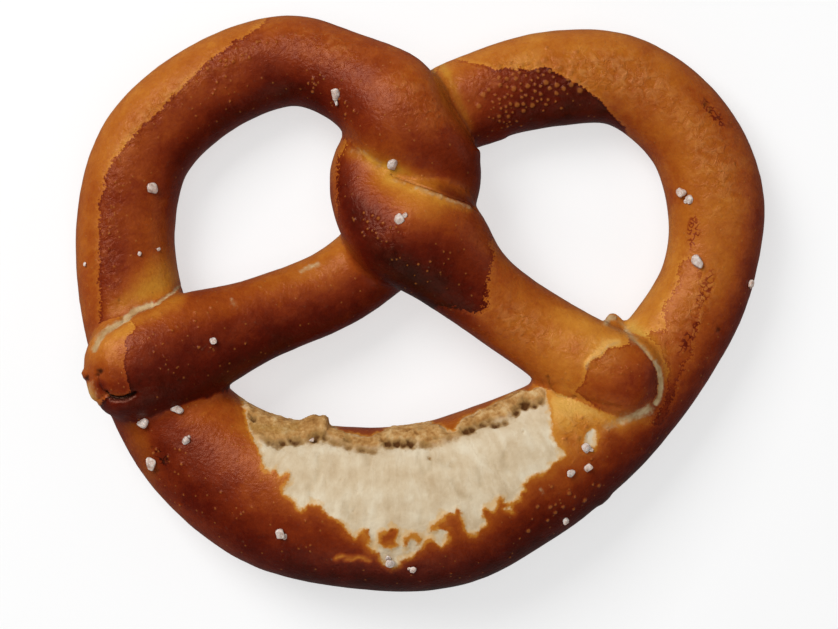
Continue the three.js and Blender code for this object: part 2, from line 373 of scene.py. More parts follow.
# Crust that browned more, or less, than the crust beside it, with an edge between: the places
# between which the outline counts, whether it is browner inside, how frayed its edge is, and
# the outline.
PATCHES = {
    "left_loop_band": ((8.5, 15.2), False, 0.65, (
        (267, 20), (262, 25), (255, 30), (248, 35), (243, 39), (234, 40), (231, 45),
        (222, 52), (210, 60), (205, 64), (197, 73), (188, 81), (181, 90), (171, 98),
        (162, 109), (152, 118), (148, 123), (143, 124), (140, 130), (130, 140), (122, 151),
        (112, 161), (111, 168), (104, 180), (106, 186), (104, 193), (98, 202), (101, 214),
        (99, 222), (100, 235), (98, 250), (100, 262), (98, 275), (101, 303), (100, 322),
        (96, 350), (50, 350), (50, 150), (150, 0), (265, 0),
    )),
    "left_arm_cap": ((0, 2.3), False, 0.5, (
        (136, 326), (134, 331), (126, 337), (125, 342), (127, 349), (124, 355), (124, 368),
        (127, 374), (127, 380), (130, 386), (131, 393), (122, 398), (111, 397), (105, 398),
        (101, 405), (96, 412), (60, 412), (60, 330), (110, 305),
    )),
    "right_loop": ((26, 30), True, 0.4, (
        (440, 60), (455, 59), (465, 61), (475, 64), (485, 65), (490, 68), (495, 71),
        (505, 68), (510, 68), (515, 71), (520, 68), (530, 72), (535, 69), (545, 67),
        (550, 69), (556, 73), (562, 76), (568, 79), (572, 83), (578, 84), (584, 88),
        (590, 93), (597, 98), (602, 103), (607, 109), (613, 116), (619, 122), (625, 128),
        (632, 150), (460, 170), (430, 90),
    )),
    "lump": ((30.6, 35), True, 0.9, (
        (338, 160), (337, 185), (338, 200), (338, 220), (330, 250), (340, 320), (410, 325),
        (438, 306), (448, 306), (455, 307), (462, 309), (470, 310), (475, 312), (482, 311),
        (484, 306), (490, 306), (484, 297), (488, 290), (486, 284), (490, 272), (490, 264),
        (494, 255), (489, 244), (500, 225), (490, 190), (440, 170), (380, 140), (350, 140),
    )),
    "lobe": ((35, 38), True, 0.45, (
        (574, 391), (580, 386), (585, 383), (584, 378), (587, 372), (586, 367), (590, 361),
        (595, 358), (602, 357), (604, 353), (608, 348), (620, 347), (630, 344), (628, 334),
        (634, 340), (642, 348), (650, 358), (656, 368), (658, 380), (657, 394), (652, 406),
        (642, 416), (625, 421), (608, 416), (596, 408), (586, 400),
    )),
    "beside_the_lobe": ((21.8, 25), True, 0.8, (
        (690, 258), (681, 262), (678, 276), (680, 285), (675, 290), (672, 297), (664, 304),
        (662, 309), (667, 311), (663, 316), (666, 322), (667, 330), (657, 331), (650, 331),
        (645, 338), (651, 345), (660, 352), (668, 365), (668, 385), (664, 405), (650, 424),
        (662, 424), (669, 410), (671, 400), (675, 392), (677, 380), (683, 370), (684, 362),
        (690, 360), (693, 350), (690, 340), (692, 330), (698, 325), (699, 315), (700, 305),
        (702, 295), (701, 282), (700, 272), (697, 262),
    )),
}

# How brown the crust is, from pale gold (0) to nearly black (1): place, degrees and browning.
BROWNING = (
    # left arm
    (0.1, 119, 0.2), (0.4, 150, 0.66), (0.55, 128, 0.66), (0.8, 130, 0.88), (0.38, 96, 0.62),
    (0.4, 70, 0.33), (0.62, 90, 0.5), (0.7, 100, 0.6), (1.0, 40, 0.3),
    (1.2, 150, 0.84), (1.2, 110, 0.86), (1.3, 84, 0.7), (1.02, 73, 0.54), (1.4, 55, 0.44),
    (1.7, 25, 0.42),
    (2.1, 135, 0.85), (2.2, 92, 0.7), (2.2, 60, 0.46), (2.4, 28, 0.46), (3.0, 150, 0.8),
    (3.0, 120, 0.83), (3.1, 88, 0.66), (3.0, 58, 0.42), (3.2, 25, 0.42), (3.9, 150, 0.75),
    (3.9, 118, 0.77), (3.9, 88, 0.56), (3.9, 60, 0.28), (3.9, 32, 0.28), (4.6, 140, 0.72),
    (4.5, 105, 0.68), (4.5, 75, 0.4), (4.6, 35, 0.33),
    # the left strand over the right one
    (6.4, 150, 0.75), (6.5, 105, 0.55), (6.5, 60, 0.33), (6.9, 145, 0.7), (6.9, 112, 0.74),
    (6.9, 82, 0.68), (7.0, 50, 0.48), (7.0, 28, 0.33), (7.4, 152, 0.33), (7.5, 118, 0.44),
    (7.5, 85, 0.54), (7.6, 55, 0.52), (7.6, 26, 0.32), (8.1, 150, 0.45), (8.0, 115, 0.38),
    (8.1, 85, 0.52), (8.1, 58, 0.62), (8.1, 28, 0.44), (8.7, 125, 0.46), (8.7, 96, 0.54),
    (8.7, 70, 0.7), (8.6, 35, 0.72), (9.3, 148, 0.5), (9.3, 122, 0.44), (9.3, 98, 0.53),
    (9.3, 72, 0.7), (9.4, 40, 0.84), (9.4, 12, 0.72),
    # left loop: inside the line left by the lye, then outside it
    (10.0, 100, 0.55), (10.1, 74, 0.7), (10.2, 45, 0.86), (10.2, 15, 0.74), (10.9, 88, 0.5),
    (10.9, 68, 0.62), (10.9, 42, 0.85), (11.6, 86, 0.52), (11.6, 64, 0.66), (11.6, 38, 0.82),
    (11.5, 12, 0.7), (12.4, 94, 0.53), (12.3, 70, 0.56), (12.3, 40, 0.66), (12.4, 12, 0.62),
    (13.1, 100, 0.6), (13.1, 75, 0.54), (13.1, 45, 0.52), (13.2, 15, 0.52), (13.8, 104, 0.68),
    (13.7, 82, 0.58), (13.7, 50, 0.36), (13.8, 18, 0.42), (14.1, 98, 0.48), (14.1, 70, 0.28),
    (9.9, 155, 0.38), (10.6, 145, 0.3), (11.2, 130, 0.33), (11.4, 155, 0.26),
    (12.1, 120, 0.3), (12.1, 150, 0.3), (13.0, 132, 0.46), (13.0, 156, 0.36), (14.0, 135, 0.43),
    (14.0, 157, 0.4),
    # belly, and the crust left on the split's lip
    (15.3, 145, 0.7), (15.4, 118, 0.62), (15.4, 95, 0.46), (15.5, 68, 0.4), (15.7, 30, 0.5),
    (15.9, 140, 0.6), (15.9, 118, 0.76), (15.9, 97, 0.66), (16.15, 99, 0.85), (16.0, 60, 0.42),
    (16.1, 158, 0.46),
    (16.3, 132, 0.78), (16.3, 108, 0.74), (16.35, 82, 0.42), (16.6, 155, 0.6),
    (16.8, 125, 0.78), (16.8, 100, 0.56), (16.9, 84, 0.4), (17.4, 150, 0.8),
    (17.5, 122, 0.82), (17.5, 102, 0.55), (18.2, 150, 0.88), (18.2, 130, 0.82),
    (18.1, 110, 0.46), (18.9, 150, 0.88), (18.9, 128, 0.76), (18.9, 108, 0.42),
    (19.6, 150, 0.9), (19.6, 124, 0.76), (19.6, 104, 0.4), (20.3, 150, 0.87),
    (20.3, 126, 0.78), (20.3, 104, 0.42), (20.9, 120, 0.6), (20.95, 98, 0.36),
    (21.1, 70, 0.16), (21.1, 45, 0.25), (21.2, 148, 0.88), (21.5, 125, 0.76),
    (21.5, 105, 0.4), (18.0, 4, 0.58), (19.0, 2, 0.5), (20.3, 8, 0.46),
    # right loop: beside the lobe, then on to the twist
    (22.1, 150, 0.8), (22.1, 125, 0.64), (22.6, 148, 0.66), (22.6, 118, 0.5), (22.6, 92, 0.5),
    (22.76, 67, 0.36), (22.9, 35, 0.18), (23.0, 88, 0.52), (23.3, 74, 0.24), (23.3, 128, 0.66),
    (23.3, 108, 0.4), (23.6, 152, 0.7), (23.7, 42, 0.25), (23.8, 70, 0.36), (23.9, 95, 0.36),
    (24.2, 130, 0.54), (24.3, 155, 0.64), (24.3, 75, 0.33), (24.3, 40, 0.24), (24.8, 105, 0.31),
    (25.0, 150, 0.56), (25.0, 75, 0.34), (25.0, 40, 0.36), (25.4, 125, 0.42),
    (25.7, 100, 0.35), (25.8, 70, 0.37), (25.8, 35, 0.42), (26.0, 150, 0.46),
    (26.2, 122, 0.42), (26.5, 95, 0.35), (26.5, 62, 0.38), (26.4, 25, 0.48), (26.8, 148, 0.36),
    (27.1, 120, 0.33), (27.3, 92, 0.34), (27.7, 150, 0.28), (27.9, 118, 0.28),
    (28.5, 145, 0.25), (28.5, 112, 0.27), (27.4, 35, 0.84), (27.9, 62, 0.85), (28.1, 25, 0.84),
    (28.3, 88, 0.76), (28.4, 55, 0.82), (28.8, 92, 0.64), (28.8, 60, 0.76), (28.9, 28, 0.74),
    (29.1, 110, 0.44), (29.2, 75, 0.5), (29.25, 140, 0.3), (29.35, 100, 0.33),
    # the right strand over the left one
    (30.9, 150, 0.33), (30.95, 115, 0.33), (31.1, 88, 0.25), (31.3, 150, 0.55),
    (31.3, 122, 0.86), (31.4, 100, 0.6), (31.5, 74, 0.24), (31.8, 158, 0.45),
    (31.8, 130, 0.92), (31.8, 106, 0.68), (31.9, 82, 0.32), (32.3, 60, 0.3), (32.3, 140, 0.86),
    (32.3, 118, 0.93), (32.3, 96, 0.62), (32.5, 76, 0.42), (32.3, 28, 0.42), (32.9, 150, 0.88),
    (32.9, 122, 0.97), (32.9, 96, 0.8), (33.0, 74, 0.56), (33.0, 45, 0.48), (33.6, 148, 0.88),
    (33.6, 118, 0.9), (33.6, 90, 0.76), (33.6, 66, 0.62), (33.6, 40, 0.52), (34.0, 140, 0.82),
    (34.0, 105, 0.8), (34.0, 70, 0.64),
    # right arm and its lobe
    (34.5, 150, 0.5), (34.5, 112, 0.38), (34.4, 70, 0.42), (34.5, 35, 0.44), (35.2, 145, 0.4),
    (35.2, 108, 0.34), (35.2, 70, 0.29), (35.2, 30, 0.36), (35.8, 130, 0.27), (35.8, 90, 0.25),
    (35.8, 45, 0.15), (36.2, 62, 0.1), (36.4, 30, 0.24), (36.7, 48, 0.22), (36.7, 142, 0.36),
    (37.3, 142, 0.38), (37.4, 35, 0.28), (36.3, 100, 0.3), (36.6, 82, 0.3), (36.9, 110, 0.58),
    (36.9, 78, 0.42), (37.2, 100, 0.72), (37.5, 85, 0.64), (37.7, 105, 0.56),
)
BROWNING_REACH = 0.42, 15  # stations and degrees over which a value counts
BASE_BROWNING = 0.45  # underneath, and where the dough lay on the tray

# Torn pale seams: half-width and depth in mm, paleness, then the line.
PALE_SEAMS = {
    "left_arm_root": (0.68, 0.4, 1.0, (
        (94, 349), (98, 340), (102, 334), (106, 330), (113, 326), (120, 322), (127, 317),
        (134, 311), (143, 307), (151, 304),
    )),
    "left_arm_root_thin": (0.34, 0.3, 0.8, (
        (150, 304), (157, 303), (163, 299), (168, 295), (174, 292), (178, 287), (184, 285),
    )),
    "twist_left": (0.8, 0.15, 0.26, ((352, 150), (362, 153), (373, 160), (383, 166))),
    "twist_start": (0.7, -0.1, 0.3, ((394, 181), (400, 183), (404, 183))),
    "twist_middle": (0.6, -0.25, 0.42, ((416, 188), (424, 191), (435, 195), (441, 196))),
    "twist_end": (0.55, -0.2, 0.38, ((441, 197), (450, 200), (460, 204), (469, 207))),
    "beside_the_lobe": (0.55, 0.15, 0.6, ((626, 330), (634, 339), (643, 348), (652, 358))),
    "beside_the_lobe_top": (0.9, 0.0, 0.5, ((630, 336), (636, 341))),
    "round_the_lobe": (0.55, 0.2, 0.85, (
        (655, 362), (660, 372), (661.5, 384), (660, 395), (656, 403),
    )),
    "under_the_lobe": (1.1, 0.2, 0.62, ((650, 409), (641, 413), (632, 417), (622, 420))),
    "below_the_arm": (1.1, 0.1, 0.4, ((620, 421), (612, 425), (606, 427))),
    "lobe_fringe": (0.5, -0.2, 0.34, (
        (617, 344), (609, 345), (604, 350), (598, 356), (592, 358), (588, 363), (586, 369),
    )),
    "torn_corner": (0.7, -0.3, 0.75, ((606, 323), (610, 318), (615, 318))),
    "torn_corner_right": (0.6, 0.0, 0.4, ((619, 321), (625, 326), (629, 332))),
    "lip_edge": (0.5, 0.0, 0.7, ((338, 434), (350, 437), (364, 441), (378, 438))),
    "left_arm_fleck": (0.6, 0.0, 0.5, ((301, 272), (308, 268), (318, 264))),
    "left_arm_fleck_2": (0.7, 0.0, 0.3, ((232, 300), (235, 306))),
    "arm_end_facet": (0.8, -0.1, 0.35, ((91, 384), (92, 390), (94, 396))),
    "belly_fleck": (0.5, 0.0, 0.3, ((541, 489), (543, 493))),
}
# Creases in the crust, sunk by their depth and painted dark as the shade in them: half-width and
# depth in mm, darkness of the painted shade, then the line.
SHADED_CREASES = {
    "fold": (0.5, 1.2, 1.0, (
        (105, 393), (109, 397), (116, 399), (123, 398.5), (129, 397), (135, 394),
    )),
    "fold_start": (0.35, 0.3, 0.5, ((97, 376), (98, 382), (101, 389), (105, 393))),
    "fold_wrinkle": (0.22, 0.35, 0.4, ((99, 399), (103, 396), (107, 396))),
    "fold_wrinkle_low": (0.22, 0.3, 0.3, ((101, 406), (105, 402), (110, 399))),
    "facet": (0.22, 0.2, 0.35, ((95, 383), (95, 390), (95, 398), (97, 404))),
    "twist": (0.17, 0.45, 0.6, (
        (390, 174), (398, 178), (405, 180), (415, 184), (425, 187), (433, 190), (441, 193),
        (450, 197), (458, 199), (466, 202), (473, 207), (479, 212),
    )),
    "twist_shadow": (0.7, 0.0, 0.3, (
        (405, 179), (415, 182), (425, 185), (433, 188), (441, 191), (450, 195), (458, 197),
        (466, 200), (473, 205),
    )),
    "upper_crossing": (0.55, 0.1, 0.42, (
        (426, 63), (440, 78), (448, 92), (451, 102), (458, 112), (465, 122), (470, 132),
        (476, 148),
    )),
    "beside_the_lobe": (0.4, 0.4, 0.45, ((547, 378), (549, 388), (558, 396), (575, 398))),
    "beside_the_lobe_far": (0.6, 0.2, 0.25, ((575, 398), (600, 404), (620, 408))),
    "belly_right": (0.3, 0.2, 0.5, ((601, 510), (605, 505))),
}
# Dark spots: burnt ones, and torn holes and the crevice's end beside the lobe painted dark as
# shade: column, row, half-width and half-height in columns, and darkness.
BURNT_AND_SHADED_SPOTS = (
    (100, 371, 3.6, 3.2, 0.8), (97, 375, 3, 2.2, 0.6), (88, 378, 2.6, 3.6, 0.75),
    (719, 331, 2.5, 4, 0.6), (166, 460, 3.5, 4, 0.6), (158, 471, 2, 2, 0.5),
    (152, 447, 2, 2, 0.5), (706, 103, 3, 5, 0.6), (711, 111, 2.5, 5, 0.5),
    (719, 118, 4, 2.5, 0.4), (729, 126, 5, 4, 0.35), (739, 139, 3, 6, 0.3),
    (391, 531, 2.6, 2, 0.6), (548, 378, 2, 3, 0.5), (551, 386, 2.5, 3, 0.5),
    (541, 383, 3, 2, 0.4), (119, 301, 2, 4, 0.5), (121, 318, 2, 3, 0.5),
)
# Rolls of dough that stand proud: half-width and height in mm, then the line.
RIDGES = (
    (1.6, 0.55, ((110, 405), (118, 406), (126, 405))),
    (0.7, 0.3, ((91, 384), (92, 392), (94, 400))),
    (1.0, 0.35, ((108, 362), (110, 375), (113, 387))),
    (0.6, 0.8, ((85, 372), (87, 377))),
    (1.5, 0.8, ((481, 151), (490, 144), (502, 138))),
    (1.2, 0.5, ((604, 504), (609, 500))),
    (1.6, 0.4, ((549, 418), (556, 424))),
    (1.2, 0.35, ((563, 415), (570, 424))),
)
# Crust that other dough shielded or that caught more heat, fading out to both sides: the places
# between which it counts, half-width in mm, change in browning, how olive it turned, then the
# line.
SHADES = (
    (28.5, 31.3, 1.0, -0.13, 0.5, (
        (441, 64), (449, 77), (455, 90), (460, 104), (466, 117), (472, 131),
    )),
    (5.0, 8.2, 1.5, -0.16, 0.45, ((390, 166), (400, 170), (412, 175), (425, 179))),
    (5.0, 8.2, 1.5, 0.0, 0.5, ((432, 181), (442, 186), (460, 192), (478, 201))),
    (5.0, 8.2, 2.0, -0.1, 0.4, ((456, 187), (466, 191), (478, 198))),
    (29.0, 33.5, 0.9, 0.12, 0.3, ((440, 189), (451, 195), (462, 200), (472, 204))),
    (35.0, 37.8, 0.7, -0.22, 0.0, ((618, 342), (608, 343), (601, 350), (592, 356), (586, 364))),
    (35.0, 37.8, 1.4, 0.04, 0.0, ((590, 400), (606, 406), (622, 409), (640, 406))),
    (29.0, 33.5, 1.4, 0.12, 0.5, ((426, 178), (436, 182), (450, 188), (464, 194), (478, 202))),
    (15.2, 16.0, 2.5, -0.14, 0.5, ((132, 425), (142, 445), (152, 470))),
    (30.0, 33.0, 1.1, -0.12, 0.2, ((385, 180), (405, 187), (430, 196), (455, 205), (475, 212))),
    (30.0, 33.0, 3.0, -0.1, 0.0, ((370, 178), (405, 198), (430, 208))),
    (5.0, 33.0, 1.7, -0.2, 0.4, ((350, 152), (365, 158), (378, 166), (390, 172))),
    (12.5, 15.2, 2.4, -0.2, 0.3, ((114, 310), (130, 300), (150, 291), (172, 280))),
    (13.0, 14.2, 3.0, -0.1, 0.2, ((140, 285), (165, 265), (176, 255))),
    (0.3, 3.0, 1.6, -0.15, 0.1, ((118, 335), (135, 322), (155, 313), (180, 298))),
    (1.0, 3.5, 1.8, 0.03, 0.0, ((178, 300), (195, 299), (215, 297))),
    (0.0, 0.9, 1.0, -0.32, 0.0, ((89, 386), (90, 392), (92, 399))),
    (0.0, 1.0, 1.2, 0.16, 0.0, ((99, 386), (101, 396), (103, 404))),
    (0.0, 1.1, 1.6, 0.12, 0.0, ((104, 386), (114, 388), (124, 389))),
    (0.0, 1.2, 2.0, -0.1, 0.0, ((106, 345), (112, 352), (116, 362))),
    (20.5, 22.5, 2.0, -0.2, 0.2, ((560, 402), (590, 412), (620, 424), (645, 420))),
    (21.5, 23.5, 1.6, -0.15, 0.4, ((632, 328), (646, 340), (660, 355), (668, 375))),
    (16.2, 17.3, 0.8, 0.0, 0.4, ((250, 427), (270, 428), (282, 431), (296, 429))),
    (16.5, 21.0, 1.4, -0.2, 0.0, ((363, 535), (370, 542), (372, 548))),
    (16.5, 21.0, 0.6, -0.5, 0.0, ((336, 559), (342, 556), (350, 560), (358, 557), (368, 561))),
    (16.5, 21.0, 1.0, -0.2, 0.0, ((383, 547), (396, 546))),
    (20.5, 22.3, 2.2, -0.12, 0.1, ((562, 402), (565, 414), (566, 424))),
)
# Crust wrinkled by its own steam: place, degrees, the stations and degrees over which it fades
# out, and how much.
WRINKLED = (
    (27.2, 92, 0.9, 28, 1.0), (28.6, 105, 0.5, 20, 0.9), (25.6, 95, 0.9, 25, 0.8),
    (9.3, 110, 0.6, 25, 0.7), (11.6, 104, 1.6, 12, 0.8), (13.3, 104, 0.7, 12, 0.8),
    (34.9, 95, 0.6, 25, 0.7), (36.2, 75, 0.5, 22, 0.8), (32.1, 112, 0.35, 20, 0.6),
    (3.0, 95, 1.2, 22, 0.25), (7.7, 110, 0.8, 25, 0.6),
    (21.2, 80, 0.5, 25, 0.6), (23.3, 85, 0.8, 16, 0.8),
)

# Small blisters: place, degrees, stations and degrees over which they thin out, how many, and
# their size as a share of BLISTER_SIZES.
BLISTERED = (
    (28.4, 79, 0.3, 18, 420, 1.35), (28.75, 50, 0.2, 14, 24, 0.8), (31.85, 118, 0.24, 12, 34, 1.0),
    (10.5, 104, 0.4, 8, 16, 0.9), (11.0, 72, 0.6, 14, 14, 0.7), (12.9, 100, 0.5, 7, 24, 0.6),
    (1.9, 80, 0.5, 24, 14, 0.7), (20.5, 128, 0.35, 10, 12, 1.1), (9.3, 62, 0.35, 12, 14, 0.8),
    (36.9, 75, 0.3, 14, 6, 0.6), (33.3, 110, 0.5, 20, 14, 0.7), (17.0, 115, 0.8, 14, 12, 0.6),
    (8.6, 50, 0.2, 10, 8, 0.9), (15.9, 112, 0.3, 20, 10, 0.8), (19.0, 135, 0.8, 12, 8, 0.6),
    (1.6, 100, 0.15, 16, 14, 0.6), (21.1, 92, 0.3, 12, 8, 1.0), (26.5, 95, 1.0, 25, 10, 0.5),
    (20.71, 137, 0, 0, 1, 2.2), (20.51, 117, 0, 0, 1, 1.9), (20.3, 132, 0, 0, 1, 1.8),
    (19.92, 130, 0, 0, 1, 1.7), (20.3, 121, 0, 0, 1, 1.4),
)
BLISTER_SIZES = 0.28, 0.62  # radius in mm
BLISTER_HEIGHT = 0.6  # share of the radius
BLISTER_GAP = 0.07  # least crust between two, in mm
BLISTER_SCATTER = 0.7  # how widely they scatter, as a share of where they thin out

# Thin scorched lines: place, degrees, and stations and degrees over which they thin out.
SCORCHED = (
    (24.5, 58, 0.3, 9), (26.0, 121, 0.2, 9), (23.7, 88, 0.3, 6), (23.0, 96, 0.3, 5),
    (15.75, 118, 0.1, 6),
)


def nearby(value, middle, spread):
    return np.exp(-(((value - middle) / spread) ** 2))


def step(value, low, high):
    share = np.clip((value - low) / (high - low), 0, 1)
    return share * share * (3 - 2 * share)


# Layers of smooth unevenness: height (in mm or as a share), distance from hump to hump in mm,
# and seed.
SWELLS = (0.18, 16, 5), (0.07, 4, 6)
TORN_EDGE = (0.3, 1.6, 1), (0.15, 0.8, 2)
CREVICE_WANDER = (0.5, 1.6, 3), (0.8, 3.5, 18)
CREVICE_CHANGES = ((1.2, 2.5, 4),)
SPOT_WANDER = (0.5, 0.9, 12), (0.3, 2.0, 19)
CRAGS = (0.6, 2.2, 8), (0.4, 0.9, 14)
CRUMB_HUMPS = (0.1, 4, 10), (0.06, 0.8, 11)
BLISTER_DENTS = tuple(((0.16, 0.6, seed),) for seed in (20, 21, 22))
RUMPLED = ((0.14, 2.4, 16),)
SEAM_WANDER = (0.25, 1.5, 13), (0.15, 0.7, 17)
LOW_EDGE_WANDER = ((3.5, 9, 23),)
# Streaks: distance from one to the next along and round the rope in mm, and seed.
FLAKES = 3.4, 1.8, 7
FIBRES = 1.5, 5, 9
RUMPLES = 6.5, 3.0, 15


def uneven(points, *layers):
    """The sum of the layers at each point; a layer goes from about -1 to 1 times its height."""
    total = np.zeros(len(points))
    for height, size_mm, seed in layers:
        shift = Vector((seed * 7.31, seed * 3.17, seed * 5.83))
        scale = 1 / (size_mm * MM)
        total += height * np.array([noise.noise(Vector(p) * scale + shift) for p in points])
    return total


def stretched(along, around, along_mm, around_mm, seed):
    """Noise whose humps are long in one direction."""
    spots = np.column_stack([along / along_mm, around / around_mm, np.full(len(along), seed * 7.7)])
    return np.array([noise.noise(Vector(p)) for p in spots])


def seen(points):
    """Columns and rows at which the camera sees points."""
    shrink = (CAMERA_HEIGHT - VIEW_LEVEL) / (CAMERA_HEIGHT - points[:, 2]) / PIXEL
    column = VIEW_COLUMNS / 2 + (points[:, 0] - CAMERA_OVER[0]) * shrink
    row = VIEW_ROWS / 2 - (points[:, 1] - CAMERA_OVER[1]) * shrink
    return column, row


def line_distance(column, row, line, closed=False):
    """Distance in mm to a line drawn on the view."""
    corners = np.array(line, float)
    ends = np.roll(corners, -1, 0) if closed else corners[1:]
    nearest = np.full(len(column), np.inf)
    for (x0, y0), (x1, y1) in zip(corners, ends):
        dx, dy = x1 - x0, y1 - y0
        t = np.clip(((column - x0) * dx + (row - y0) * dy) / (dx * dx + dy * dy), 0, 1)
        nearest = np.minimum(nearest, np.hypot(column - x0 - t * dx, row - y0 - t * dy))
    return nearest * PIXEL / MM


def inside_distance(column, row, outline):
    """Distance in mm to a closed outline drawn on the view, positive inside it."""
    corners = np.array(outline, float)
    inside = np.zeros(len(column), bool)
    for (x0, y0), (x1, y1) in zip(corners, np.roll(corners, -1, 0)):
        crosses = (y0 > row) != (y1 > row)
        inside ^= crosses & (column < x0 + (row - y0) / ((y1 - y0) or 1) * (x1 - x0))
    gap = line_distance(column, row, outline, closed=True)
    return np.where(inside, gap, -gap)


# ---- the dough as one closed mesh -----------------------------------------------------------

VOXEL = 1.18 * MM
ALL_ROUND = 3  # rounds of smoothing after the strands are fused
BELLY_PLACES = 15.6, 21.6
TORN_CORNER = (0.0434, -0.0042, 0.0112)  # a lump of torn dough where the right arm lies on
TORN_CORNER_SIZE = 0.0022
FAR = 99.0  # mm: a distance that stands for none


def smooth(bm, verts, rounds):
    for _ in range(rounds):
        bmesh.ops.smooth_vert(
            bm, verts=list(verts), factor=0.5, use_axis_x=True, use_axis_y=True, use_axis_z=True
        )


def fused(tube):
    """The strands of the tube fused to one closed skin."""
    mesh = bpy.data.meshes.new("strands")
    strand = tube.copy()
    lump = Matrix.Translation(TORN_CORNER)
    bmesh.ops.create_icosphere(strand, subdivisions=3, radius=TORN_CORNER_SIZE, matrix=lump)
    strand.to_mesh(mesh)
    strand.free()
    strands = bpy.data.objects.new("strands", mesh)
    bpy.context.scene.collection.objects.link(strands)
    remesh = strands.modifiers.new("fuse", "REMESH")
    remesh.mode = "VOXEL"
    remesh.voxel_size = VOXEL
    graph = bpy.context.evaluated_depsgraph_get()
    whole = bpy.data.meshes.new_from_object(strands.evaluated_get(graph))
    bm = bmesh.new()
    bm.from_mesh(whole)
    bpy.data.objects.remove(strands)
    for spare in (mesh, whole):
        bpy.data.meshes.remove(spare)
    smooth(bm, bm.verts, ALL_ROUND)
    return bm


class Survey:
    """Finds the spots of the rope that are nearest to points in space."""

    def __init__(self, tube):
        self.corners = np.array([v.co for v in tube.verts])
        self.place = np.array([v[tube.verts.layers.float["place"]] for v in tube.verts])
        self.turn = np.radians([v[tube.verts.layers.float["degrees"]] for v in tube.verts])
        tube.verts.index_update()
        self.faces = np.array(
            [[v.index for v in f.verts] for f in tube.faces if len(f.verts) == 4]
        )
        self.tree = BVHTree.FromPolygons(self.corners.tolist(), self.faces.tolist())

    def spots(self, points):
        """Place, and degrees from -90 to 270, of each point."""
        near = [self.tree.find_nearest(p) for p in points]
        corners = self.faces[[n[2] for n in near]]
        found = np.array([n[0] for n in near])
        gaps = np.linalg.norm(self.corners[corners] - found[:, None], axis=2)
        weights = 1 / (gaps + 1e-7)
        weights /= weights.sum(1)[:, None]
        place = (self.place[corners] * weights).sum(1)
        turn = self.turn[corners]
        sine, cosine = (np.sin(turn) * weights).sum(1), (np.cos(turn) * weights).sum(1)
        return place, (np.degrees(np.arctan2(sine, cosine)) + 90) % 360 - 90


def torn_depth(place, degrees, column, row):
    """Signed distance in mm to the edge of the tear, positive where the dough is bare."""
    torn = inside_distance(column, row, SPLIT)
    for scrap in SCRAPS:
        torn = np.maximum(torn, inside_distance(column, row, scrap))
    for island in ISLANDS:
        torn = np.minimum(torn, -inside_distance(column, row, island))
    torn = np.minimum(torn, (degrees - TORN_LOW) * DEGREE_MM)
    torn = np.minimum(torn, (TORN_FAR - degrees) * DEGREE_MM)
    start, end = BELLY_PLACES
    return np.minimum(torn, np.minimum(place - start, end - place) * STATION_MM)


def drawn_blisters():
    """Middles and radii in mm of the blisters."""
    draw = random.Random(11)
    centres, radii = [], []
    for place, degrees, stations, spread, count, share in BLISTERED:
        for _ in range(count):
            p = draw.gauss(place, stations * BLISTER_SCATTER)
            d = draw.gauss(degrees, spread * BLISTER_SCATTER)
            centre = skin(np.array([p]), np.array([d]))[0]
            radius = share * draw.uniform(*BLISTER_SIZES)
            gaps = [
                np.linalg.norm(centre - c) / MM - r - radius for c, r in zip(centres, radii)
            ]
            if min(gaps, default=1) > BLISTER_GAP:
                centres.append(centre)
                radii.append(radius)
    return np.array(centres), np.array(radii)


def blister_bumps(points, centres, radii):
    """How high each point stands in a blister, from 0 to 1, and its gap to the nearest in mm."""
    tree = KDTree(len(centres))
    for index, centre in enumerate(centres):
        tree.insert(centre, index)
    tree.balance()
    bump, gaps = np.zeros(len(points)), np.full(len(points), FAR)
    for i, point in enumerate(points):
        for _, index, distance in tree.find_n(point, 3):
            gap = distance / MM - radii[index]
            gaps[i] = min(gaps[i], gap)
            bump[i] = max(bump[i], -gap / radii[index])
    return bump, gaps


def below_crevice(column, row):
    """How far below the crevice a spot is seen, in mm."""
    return (row - np.interp(column, *np.array(CREVICE, float).T)) * PIXEL / MM


# Within how many mm of the tear's edge, of a line or spot drawn on the crust, and of a blister
# the mesh is cut finer, and how far below the crevice it counts as the crags of the lip.
FINE_TEAR, FINER_TEAR = 2.2, 1.1
FINE_LINE, FINER_LINE = 1.3, 0.35
FINEST_BLISTER = 0.0
FINER_BELOW = 1.5
LEFT_COARSE = 3 * MM  # below this height lines and spots don't cut the mesh finer


def wanted_cuts(survey, points, blisters):
    """How often the mesh is cut finer at each point: 0 to 3 times."""
    place, degrees = survey.spots(points)
    column, row = seen(points)
    torn = torn_depth(place, degrees, column, row)
    blister_gap = blister_bumps(points, *blisters)[1]
    gap = blister_gap.copy()
    for width, _, _, line in (*PALE_SEAMS.values(), *SHADED_CREASES.values()):
        gap = np.minimum(gap, line_distance(column, row, line) - width)
    for c, r, across, down, _ in (*BURNT_AND_SHADED_SPOTS, *PITS):
        gap = np.minimum(gap, (np.hypot(column - c, row - r) - max(across, down)) * PIXEL / MM)
    gap[points[:, 2] < LEFT_COARSE] = FAR
    crags = (torn > 0) & (below_crevice(column, row) < FINER_BELOW)
    cuts = np.zeros(len(points), int)
    cuts[(torn > -FINE_TEAR) | (gap < FINE_LINE)] = 1
    cuts[(np.abs(torn) < FINER_TEAR) | crags | (gap < FINER_LINE)] = 2
    cuts[blister_gap < FINEST_BLISTER] = 3
    return cuts


